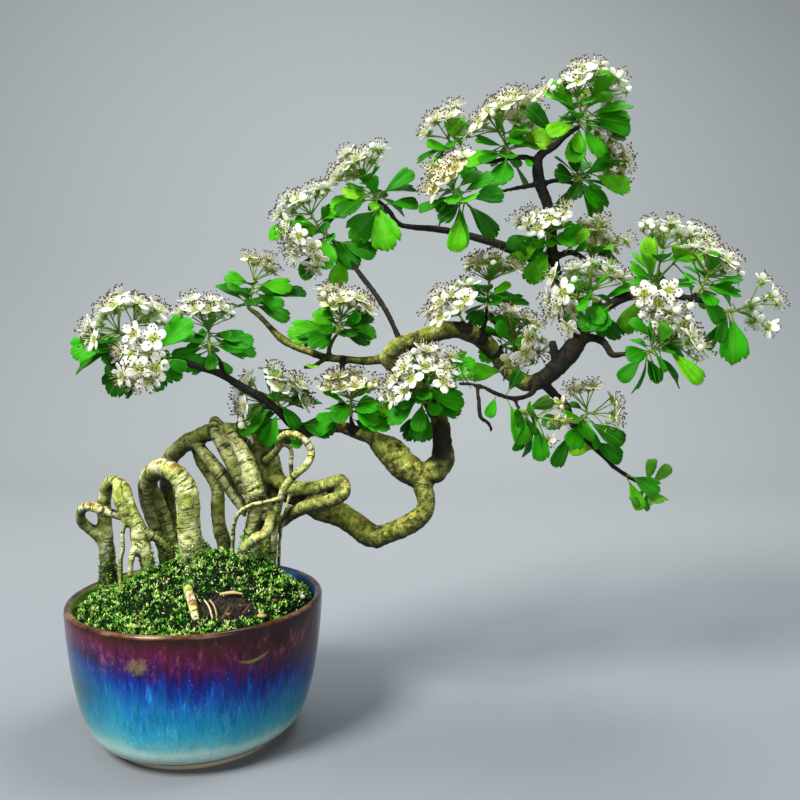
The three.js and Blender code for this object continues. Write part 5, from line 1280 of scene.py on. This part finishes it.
def dress_bark(mesh, samples):
    """Bark relief on the fused skin, and the traits that its material reads."""
    count = len(mesh.vertices)
    places, normals = np.zeros(count * 3), np.zeros(count * 3)
    mesh.vertices.foreach_get("co", places)
    mesh.vertices.foreach_get("normal", normals)
    places, normals = places.reshape(-1, 3) / MM - POT_AT, normals.reshape(-1, 3)
    finder = kdtree.KDTree(len(samples))
    for i, (point, _, _) in enumerate(samples):
        finder.insert(point[:3], i)
    finder.balance()
    nearest = np.array([finder.find(p)[1] for p in places.tolist()])
    along = np.array([samples[i][1] for i in nearest])
    thick = np.array([samples[i][0][3] for i in nearest])
    kind = np.array([samples[i][2] for i in nearest])
    x, y, z = places.T
    low = z - mound(x, y)
    behind = smoothstep(y, 5, 16)
    mossy = (1 - smoothstep(low, 3, 22 + 26 * behind)) * (0.35 + 0.65 * smoothstep(y, -12, 14))
    leftmost = smoothstep(-x, 43, 49) * (1 - smoothstep(low, 14, 52))
    mossy = np.clip(np.maximum(mossy, 0.95 * leftmost), 0, 1)
    mossy[(np.abs(x - 3) < 8) & (y > -36) & (y < -22) & (z < 118)] = 1
    mossy[y < -36] = 0
    # painted shade: the bark is made darker on the trunk's bend and on the roots at the back; the limbs right of x
    # 190 above z 130 are made as dark as twigs
    bend_shade = 1.15 * np.exp(-((x - 153) / 15) ** 2 - ((z - 184) / 24) ** 2)
    kind = np.maximum(kind, 0.45 * smoothstep(y, 6, 18) * (z < 186) * (x < 60))
    kind = np.maximum(kind, np.maximum(bend_shade, smoothstep(x, 190, 214)) * (z > 130))
    kind = np.minimum(kind, 1)
    outside = np.array_split(places + normals * 5, count // 4000 + 1)
    open_air = np.concatenate([WOOD.room(part) for part in outside])
    # painted shade: the bark darkens where other wood lies close outside it, as in the crevices between limbs
    crevice_shade = 1 - smoothstep(open_air, 0.6, 4.4)
    ring_place = np.stack([along * 0.5, x * 0.12, z * 0.12], axis=1)
    rings = rough(ring_place, 1.0, 2, 3.0)
    relief = 0.075 * thick * rough(places, 4.0, 3, 1.0) + 0.045 * thick * rings
    places += normals * relief[:, None]
    mesh.vertices.foreach_set("co", ((places + POT_AT) * MM).ravel())
    set_traits(mesh, np.stack([along, crevice_shade, kind, mossy], axis=1))


# Flowers

PETAL, GREEN, THREAD, ANTHER, EYE = range(5)


PETAL_SIZE = 3.4
PETAL_FROM = 1.1
PETAL_THICK = 0.16
STAMEN_LENGTH = 6.2
STAMEN_SPREAD = 0.72
BUD_RADIUS = 2.35
EXTRA_SPREAD = 1.15
SMALL_SPRAY = 0.86


def petal_points(openness, rng):
    """One petal along +X: a cupped round blade on a short claw."""
    rows, columns = 4, 5
    t = np.linspace(0.07, 0.93, rows)[:, None]
    v = np.linspace(-1, 1, columns)[None]
    size = PETAL_SIZE * rng.uniform(0.9, 1.08)
    r = 4.6 - size * np.cos(math.pi * t) + 0 * v
    y = v * size * 0.86 * np.sin(math.pi * t) ** 0.7 * (0.72 + 0.36 * t)
    ruffle = rng.uniform(-0.45, 0.45, (1, columns)) * t ** 2
    z = 0.06 * y ** 2 + 0.035 * (r - 3.2) ** 2 + rng.uniform(-0.22, 0.22) * y + ruffle
    rise = (1 - openness) * 1.05 + rng.uniform(-0.22, 0.26)
    x = PETAL_FROM + (r - PETAL_FROM) * math.cos(rise) - z * math.sin(rise)
    z = (r - PETAL_FROM) * math.sin(rise) + z * math.cos(rise)
    upper = np.stack([x, y, z], axis=-1).reshape(-1, 3)
    lower = upper - [0, 0, PETAL_THICK]
    traits = np.zeros((rows, columns, 4))
    traits[..., 0], traits[..., 1] = t, v
    return np.concatenate([upper, lower]), np.tile(traits.reshape(-1, 4), (2, 1)), thin_sheet(rows, columns)


def around(points, turn):
    """Points turned round Z."""
    c, s = math.cos(turn), math.sin(turn)
    return points @ np.array([[c, s, 0], [-s, c, 0], [0, 0, 1]])


def cup_form(shape):
    """Green cup under the petals, with the eye of the flower and five pointed sepals."""
    profile = [(0.34, -3.4), (1.0, -2.4), (1.6, -1.0), (1.95, -0.1), (1.95, 0.35), (1.2, 0.2), (0.4, 0.05)]
    rings = lathe(profile, 8)
    green = grid_quads(4, 8, closed=True)
    eye = grid_quads(len(profile), 8, closed=True)[len(green):]
    shape.add(rings.reshape(-1, 3), [green, eye], [GREEN, EYE])
    style, faces = tube([[0, 0, 0], [0.15, 0.05, 1.6], [0.25, 0.1, 3.4]], [0.34, 0.24, 0.4], 3)
    shape.add(style, faces, EYE)
    for k in range(5):
        points = np.array([[[1.5, -0.7, -0.5], [1.5, 0.7, -0.5]], [[4.2, -0.08, -2.1], [4.2, 0.08, -2.1]]])
        points = points.reshape(-1, 3)
        both = np.concatenate([points, points - [0, 0, 0.2]])
        shape.add(around(both, (k + 0.5) * 2 * math.pi / 5), thin_sheet(2, 2), GREEN)


def stamen_forms(shape, rng, count, length, spread):
    """Pale threads that stand in a ring, each with a dark anther across its tip."""
    ball = np.array([[1, 0, 0], [0, 1, 0], [-1, 0, 0], [0, -1, 0], [0, 0, 1], [0, 0, -1]], float)
    faces = [np.array([[0, 1, 4], [1, 2, 4], [2, 3, 4], [3, 0, 4], [1, 0, 5], [2, 1, 5], [3, 2, 5], [0, 3, 5]])]
    for k in range(count):
        turn = 2 * math.pi * (k + rng.uniform(-0.3, 0.3)) / count
        polar = spread * rng.uniform(0.3, 1.2)
        out = np.array([math.cos(turn), math.sin(turn), 0])
        reach = length * rng.uniform(0.8, 1.15)
        foot = out * 1.5 + [0, 0, 0.1]
        tip = foot + out * reach * math.sin(polar) + np.array([0, 0, reach * math.cos(polar)])
        shape.add(*tube([foot, tip], [0.17, 0.12], 3), THREAD)
        shape.add(ball * [0.76, 0.6, 0.6] + tip, faces, ANTHER)


def gathered(shape):
    """A form's arrays, ready to be copied many times."""
    groups = {}
    for face, finish in zip(shape.faces, np.concatenate(shape.finishes)):
        groups.setdefault((len(face), int(finish)), []).append(face)
    return (np.concatenate(shape.points), [np.array(faces) for faces in groups.values()],
            [finish for _, finish in groups], np.concatenate(shape.traits))


def flower_form(seed, openness, missing=()):
    """A whole flower that faces +Z, its petals spread round the origin."""
    rng = np.random.default_rng(seed)
    shape = Shape()
    for k in range(5):
        if k not in missing:
            points, traits, faces = petal_points(openness, rng)
            shape.add(around(points, k * 2 * math.pi / 5 + rng.uniform(-0.12, 0.12)), faces, PETAL, traits)
    cup_form(shape)
    stamen_forms(shape, rng, STAMENS, STAMEN_LENGTH, STAMEN_SPREAD * (0.5 + 0.5 * openness))
    return gathered(shape)


def bud_form(seed):
    """A round bud: white petals wrapped over each other in a green cup."""
    rng = np.random.default_rng(seed)
    shape = Shape()
    rows, columns = 6, 10
    polar = np.linspace(0.06, math.pi * 0.86, rows)[:, None]
    turn = (np.arange(columns) * 2 * math.pi / columns)[None]
    wrap = 1 + 0.07 * np.cos(2.5 * turn + 1.2 * polar) * np.sin(polar)
    out = BUD_RADIUS * wrap * np.sin(polar)
    height = 0.9 + BUD_RADIUS * np.cos(polar) + 0 * turn
    points = np.stack([out * np.cos(turn), out * np.sin(turn), height], axis=-1)
    traits = np.zeros((rows, columns, 4))
    traits[..., 0] = 0.35 + 0.4 * rng.uniform()
    faces = grid_quads(rows, columns, closed=True)[:, ::-1]
    shape.add(points.reshape(-1, 3), [faces], PETAL, traits.reshape(-1, 4))
    cup_form(shape)
    return gathered(shape)


# Age of the flowers, from 0 for fresh and white to 1 for faded, which also stands for painted shade on heads that
# lie in shade, and sprays with few and small ones
AGE_AND_SHADE = {"cutTip": 0.55, "crossLeft": 0.5, "gapMid": 0.5, "fallSide": 0.5, "fallDrop": 0.55, "bendTop": 0.35,
       "crownLeft": 0.25, "topRight": 0.35, "crossRight": 0.45, "inner": 0.3, "archBack": 0.35}
FRESH = 0.06
SPARSE = ("fallSide", "fallDrop", "rightEnd", "cutTip")


def add_flower(shape, form, flower, size, age):
    """One flower or bud, with the thin stalk that carries it."""
    points, faces, finishes, traits = form
    facing = unit(flower["facing"] + flower["up"] * 0.45)
    side, up = cross_axes(facing)
    turned = around(points * size, flower["spin"])
    placed = turned @ np.array([side, up, facing]) + flower["middle"]
    mine = traits.copy()
    mine[:, 2] = age
    shape.add(placed, faces, finishes, mine)
    foot = flower["middle"] - facing * 3.3 * size
    way = unit(flower["middle"] - flower["from"])
    bend = flower["from"] + way * distance(foot, flower["from"]) * 0.6
    start = flower["from"] - way * 0.8
    route = [start, start * 0.56 + bend * 0.36 + foot * 0.08, start * 0.2 + bend * 0.52 + foot * 0.28, foot,
             foot + facing * 0.3]
    shape.add(*tube(route, [0.5, 0.42, 0.4, 0.44, 0.4], 6), GREEN, (0, 0, age, 0))


def add_head_stalks(shape, plan):
    """The stalk from the shoot to the fork of each head."""
    start = plan["stems"]["stalk"]
    for head in plan["stems"]["heads"]:
        span = head["fork"] - start
        route = [start - head["facing"] * 1.0, start + span * 0.35, start + span * 0.75, head["fork"],
                 head["fork"] + head["facing"] * 1.2]
        shape.add(*tube(route, [0.85, 0.72, 0.72, 1.05, 0.5], 8), GREEN)


def extra_flowers(plan, rng):
    """More flowers and buds that crowd in between those of the solids and widen each head to a flat top."""
    out = []
    taken = [flower["middle"] for flower in plan["flowers"]]
    for head in plan["stems"]["heads"]:
        wanted = 1 if plan["name"] in SPARSE else round(head["flowers"] * 1.5) + 2
        for _ in range(FLOWER_TRIES):
            if not wanted:
                break
            bud = rng.uniform() < BUD_SHARE
            polar = EXTRA_SPREAD * math.sqrt(rng.uniform(0, 1))
            reach = min(20.0, STALK_REACH * rng.uniform(0.78, 1.14) / max(0.5, math.cos(polar * 0.8)))
            flower = flower_at(head, polar, rng.uniform(0, 2 * math.pi), reach, rng.uniform(0, 2 * math.pi))
            gap = BUD_GAP if bud else FLOWER_GAP
            crowded = any(distance(flower["middle"], other) < gap for other in taken)
            if not crowded and WOOD.room(flower["marks"][FLOWER_MIDDLE:][:1]).min() > 3:
                flower["bud"] = bud
                taken.append(flower["middle"])
                out.append(flower)
                wanted -= 1
    return out


def make_blooms(plan, forms, buds, finishes, rng):
    """All flowers and buds of one spray."""
    shape = Shape()
    age = AGE_AND_SHADE.get(plan["name"], FRESH)
    grown = SMALL_SPRAY if plan["name"] in SPARSE else 1.0
    add_head_stalks(shape, plan)
    for flower in plan["flowers"] + extra_flowers(plan, rng):
        own_age_and_shade = float(np.clip(rng.normal(age, 0.12), 0, 1))
        if flower.get("bud"):
            add_flower(shape, buds[rng.integers(len(buds))], flower, grown * rng.uniform(0.7, 1.0), own_age_and_shade)
        else:
            worn = own_age_and_shade > 0.45 and rng.uniform() < 0.5
            form = forms[-1 - rng.integers(len(WORN))] if worn else forms[rng.integers(len(OPENNESS))]
            add_flower(shape, form, flower, grown * rng.uniform(0.95, 1.12), own_age_and_shade)
    place_spray(shape, plan, finishes, "flowers_", "blooms_")


def place_spray(shape, plan, finishes, kind, node):
    """Makes the piece of one spray, named like its node."""
    place = "".join("_" + c.lower() if c.isupper() else c for c in plan["name"])
    place_piece(kind + place, shape.mesh(kind + place, finishes), node + place)


# Leaves

LEAF_ROWS, LEAF_COLUMNS = 5, 19
LEAF_TO_LIGHT = 0.75
LEAF_START = 0.20
LEAF_HALF_THICK = 0.14
LONGEST_LEAF = 30.0
# How light green the leaves of a spray are, from 0 to 1, partly their own green and partly painted light and shade,
# and how many extra leaves the thin sprays have
LEAF_GREEN_AND_LIGHT = {"crown": 0.64, "midTop": 0.4, "leftTop": 0.42, "rightTop": 0.64, "topMid": 0.55, "rightMid": 0.5,
          "farLeft": 0.3, "leftFront": 0.3, "archBack": 0.28, "cutTip": 0.25, "fallDrop": 0.35, "inner": 0.25}
USUAL_GREEN_AND_LIGHT = 0.42
SPARE_LEAVES = {"fallTip": 0, "farLeft": 3, "leftFront": 2, "leftHigh": 4, "rightEnd": 2, "fallSide": 3,
                "fallDrop": 3}


def leaf_form(spread, notch, teeth):
    """An egg-shaped blade, widest past its middle, with a lobed and toothed tip, in shares of the leaf's length."""
    v = np.linspace(-1, 1, LEAF_COLUMNS)[None]
    s = np.linspace(0.05, 1, LEAF_ROWS)[:, None] ** 0.85
    lobes = np.exp(-((np.abs(v) - 0.42) / 0.09) ** 2)
    bites = 0.5 + 0.5 * np.cos(2 * math.pi * (np.abs(v) * 4.5 + 0.06))
    shoulder = np.clip((np.abs(v) - 0.62) / 0.38, 0, 1) ** 2
    edge = (1 - LEAF_START) * (1 - 0.13 * v ** 2) * (1 - notch * lobes)
    edge = edge * (1 - teeth * bites) * (1 - 0.32 * shoulder)
    angle = spread * v * (0.80 + 0.20 * s + 0.10 * np.sin(math.pi * s))
    reach = s * (edge * s + (1 - LEAF_START) * 0.8 * (1 - s))
    t = LEAF_START + reach * np.cos(angle)
    w = reach * np.sin(angle)
    lift = 0.014 * np.sin(9 * v + 2) * s ** 2 - 0.02 * (1 - np.abs(v)) * s
    traits = np.zeros((LEAF_ROWS, LEAF_COLUMNS, 4))
    traits[..., 0], traits[..., 1] = s, v
    return t.ravel(), w.ravel(), (lift + 0 * v).ravel(), traits.reshape(-1, 4)


def add_leaf(shape, form, leaf, tint, rng):
    """One leaf, turned a little to the light, with its short stalk."""
    t, w, lift, traits = form
    length = leaf["length"]
    normal = leaf["normal"] + np.array([0, -LEAF_TO_LIGHT, 0])
    normal = unit(normal - leaf["along"] * (normal @ leaf["along"]))
    across = cross(normal, leaf["along"])
    twist, droop = rng.uniform(-0.25, 0.25), rng.uniform(-0.05, 0.22)
    bow = np.sqrt(w * w + 0.0009) - 0.03
    rise = length * (LEAF_CUP * bow - (LEAF_DROOP + droop) * t * t + twist * t * w + lift)
    middle = (leaf["root"] + leaf["along"] * (t * length)[:, None] + across * (w * length)[:, None]
              + normal * rise[:, None])
    upper = traits.copy()
    upper[:, 2] = tint
    lower = upper.copy()
    lower[:, 3] = 1
    half = normal * LEAF_HALF_THICK
    shape.add(np.concatenate([middle + half, middle - half]), thin_sheet(LEAF_ROWS, LEAF_COLUMNS), 0,
              np.concatenate([upper, lower]))
    ts = np.array([-0.02, 0.08, 0.16, 0.26, 0.4])
    rise = length * -(LEAF_DROOP + droop) * ts ** 2 - 0.1
    stalk = leaf["root"] + leaf["along"] * (ts * length)[:, None] + normal * rise[:, None]
    shape.add(*tube(stalk, np.array([0.62, 0.48, 0.44, 0.4, 0.2]) * min(1, length / 18), 4), 1, (0, 0, 0.1, 0))


def extra_leaves(plan, rng):
    """Leaves that fill out the shoot and the lower part of each head's stalk."""
    out = []
    stems = plan["stems"]
    middles = np.array([flower["middle"] for flower in plan["flowers"]] or [[0, 0, -999.0]])
    stretches = [(stems["start"], stems["end"], stems["axis"])]
    stretches += [(stems["stalk"], stems["stalk"] + (head["fork"] - stems["stalk"]) * 0.7, head["facing"])
                  for head in stems["heads"]]
    wanted = SPARE_LEAVES.get(plan["name"], 6 + 4 * len(stems["heads"]))
    for k in range(LEAF_TRIES):
        if len(out) == wanted:
            break
        low, high, axis = stretches[k % len(stretches)]
        root = low + (high - low) * rng.uniform(0.05, 1)
        direction = leaning(axis, rng.uniform(0.75, 1.9), k * GOLDEN_ANGLE + rng.uniform(0, 1))
        leaf = leaf_at(root, direction, rng.uniform(13, 25), axis, rng.uniform(-0.3, 0.3), (0, 0))
        free = apart(leaf["marks"], middles).min() > LEAF_GAP and WOOD.room(leaf["marks"]).min() > 0.4
        others = [other["marks"][LEAF_MIDDLE] for other in plan["leaves"] + out]
        if free and all(distance(leaf["marks"][LEAF_MIDDLE], other) > LEAF_GAP for other in others):
            out.append(leaf)
    return out


def seen_leaves(plan, rng):
    """Leaves whose places can be read in the photograph, each rooted on the nearest stem or twig."""
    stems = plan["stems"]
    routes = [(stems["start"], stems["end"])]
    routes += [(stems["stalk"], head["fork"]) for head in stems["heads"]]
    places = [low + (high - low) * t for low, high in routes for t in np.linspace(0, 0.8, 9)]
    places += [start + way * t for start, way in zip(WOOD.starts, WOOD.ways) for t in (0, 0.5)]
    places = np.array(places)
    depth = stems["start"][1]
    out = []
    for x, z, tip_x, tip_z, tint in SEEN_LEAVES.get(plan["name"], []):
        root = places[np.argmin(np.linalg.norm(places - [x, depth, z], axis=1))]
        reach = np.array([tip_x, root[1] - rng.uniform(6, 16), tip_z]) - root
        leaf = leaf_at(root, unit(reach), min(LONGEST_LEAF, distance(reach, 0 * reach)), stems["axis"], 0.0, (0, 0))
        leaf["normal"] = unit(np.array([rng.normal(0, 0.25), -0.55, 0.55 + rng.normal(0, 0.2)]))
        # painted light and shade: the brightness read for this leaf
        leaf["tint"] = tint / 10
        out.append(leaf)
    return out


def make_leaves(plan, forms, finishes, rng):
    """The shoot and all leaves of one spray."""
    shape = Shape()
    stems = plan["stems"]
    start, end, axis = stems["start"], stems["end"], stems["axis"]
    shoot = [start - axis * 1.0, start, (start + end) / 2, end, end + axis * 0.8]
    shape.add(*tube(shoot, [1.25, 1.15, 1.1, 1.0, 0.5], 9), 1, (0, 0, 0.5, 0))
    green_and_light = LEAF_GREEN_AND_LIGHT.get(plan["name"], USUAL_GREEN_AND_LIGHT)
    plan["leaves"] += seen_leaves(plan, rng)
    for leaf in plan["leaves"] + extra_leaves(plan, rng):
        tint = float(np.clip(rng.normal(leaf.get("tint", green_and_light), 0.11), 0.02, 0.85))
        add_leaf(shape, forms[rng.integers(len(forms))], leaf, tint, rng)
    place_spray(shape, plan, finishes, "foliage_", "leaves_")


# How far the petals of each flower form are open, and those that have lost some: how open, and which are missing
OPENNESS = (1.0, 0.95, 0.85, 0.9, 1.05, 0.7)
WORN = ((1.1, (1, 3)), (1.2, (0, 2, 4)))
# Forms of leaf: half of the angle that they span, depth of their lobes and of their teeth
LEAF_FORMS = ((0.54, 0.06, 0.035), (0.40, 0.0, 0.03), (0.58, 0.14, 0.04),
              (0.36, 0.03, 0.04), (0.52, 0.10, 0.05), (0.44, 0.0, 0.025))


def make_sprays():
    """Every spray, from a few forms of flower, bud and leaf."""
    flowers = [flower_form(20 + k, openness) for k, openness in enumerate(OPENNESS)]
    flowers += [flower_form(40 + k, openness, missing) for k, (openness, missing) in enumerate(WORN)]
    buds = [bud_form(60), bud_form(61)]
    leaves = [leaf_form(*form) for form in LEAF_FORMS]
    stem = make_stem_finish()
    bloom_finishes = [make_petal_finish(), stem, make_thread_finish(), make_anther_finish(), make_eye_finish()]
    leaf_finishes = [make_leaf_finish(), stem]
    for i, plan in enumerate(plan_sprays()):
        rng = np.random.default_rng(FINE_SEED + i)
        if plan["leaves"]:
            make_leaves(plan, leaves, leaf_finishes, rng)
        if plan["flowers"]:
            make_blooms(plan, flowers, buds, bloom_finishes, rng)


# Floor, light and camera

FLOOR_FRONT = -6000
FLOOR_BACK = 900
FLOOR_BEND = 500
FLOOR_SIDE = 7000
BACKDROP_TOP = 3000


def make_stage():
    """Pale floor that bends up into a backdrop."""
    pale = Finish("stage", 0.9)
    back = pale.axes(pale.where)[1]
    tone = pale.done(pale.ramp(back, (0.0, "7f858b"), (0.9, "b0b6b8")))
    shape = Shape()
    angles = np.linspace(0.1, math.pi / 2, 12)
    bend = [(FLOOR_BACK + FLOOR_BEND * math.sin(a), FLOOR_BEND - FLOOR_BEND * math.cos(a)) for a in angles]
    bend = [(FLOOR_FRONT, 0), (FLOOR_BACK, 0)] + bend + [(FLOOR_BACK + FLOOR_BEND, BACKDROP_TOP)]
    points = [(x, y, z) for y, z in bend for x in (-FLOOR_SIDE, FLOOR_SIDE)]
    shape.add(points, [grid_quads(len(bend), 2)])
    floor = bpy.data.objects.new("floor", shape.mesh("floor", [tone]))
    bpy.context.scene.collection.objects.link(floor)


# Soft round lights, all turned to the middle of the plant: name, place in metres, size, power in watts and colour
LIGHTS = (
    ("window", (-0.75, -0.75, 1.15), 0.5, 33, (1, 0.99, 0.96)),
    ("sky", (0.35, 0.1, 1.4), 0.7, 15, (0.98, 0.99, 1)),
    ("fill", (0.5, -1.3, 0.45), 0.8, 6.5, (1, 0.98, 0.95)),
)
LIT_MIDDLE = (0, 0, 0.22)
AIR_COLOUR = (0.84, 0.90, 0.96, 1)
AIR_STRENGTH = 0.28


def add_light(name, place, size, power, tone):
    data = bpy.data.lights.new(name, "AREA")
    data.shape, data.size, data.energy, data.color = "DISK", size, power, tone
    lamp = bpy.data.objects.new(name, data)
    lamp.location = place
    lamp.rotation_euler = (Vector(LIT_MIDDLE) - Vector(place)).to_track_quat("-Z", "Y").to_euler()
    bpy.context.scene.collection.objects.link(lamp)


def make_light_and_camera():
    """Studio light and the view of the photograph."""
    scene = bpy.context.scene
    world = bpy.data.worlds.new("studio")
    world.use_nodes = True
    world.node_tree.nodes["Background"].inputs["Color"].default_value = AIR_COLOUR
    world.node_tree.nodes["Background"].inputs["Strength"].default_value = AIR_STRENGTH
    scene.world = world
    for light in LIGHTS:
        add_light(*light)
    scene.view_settings.view_transform = "Standard"
    lens = bpy.data.cameras.new("camera")
    lens.lens, lens.sensor_width = LENS, SENSOR
    lens.clip_start = 0.02
    camera = bpy.data.objects.new("camera", lens)
    camera.location = ((POT_AT + CAMERA_AT) * MM).tolist()
    camera.rotation_euler = (math.pi / 2 - CAMERA_TILT, 0, 0)
    scene.collection.objects.link(camera)
    scene.camera = camera


make_light_and_camera()
make_stage()
make_bowl()
make_soil()
make_moss()
make_tree()
make_sprays()
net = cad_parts["drain_net"]
net.data.materials.clear()
net.data.materials.append(make_net_finish())
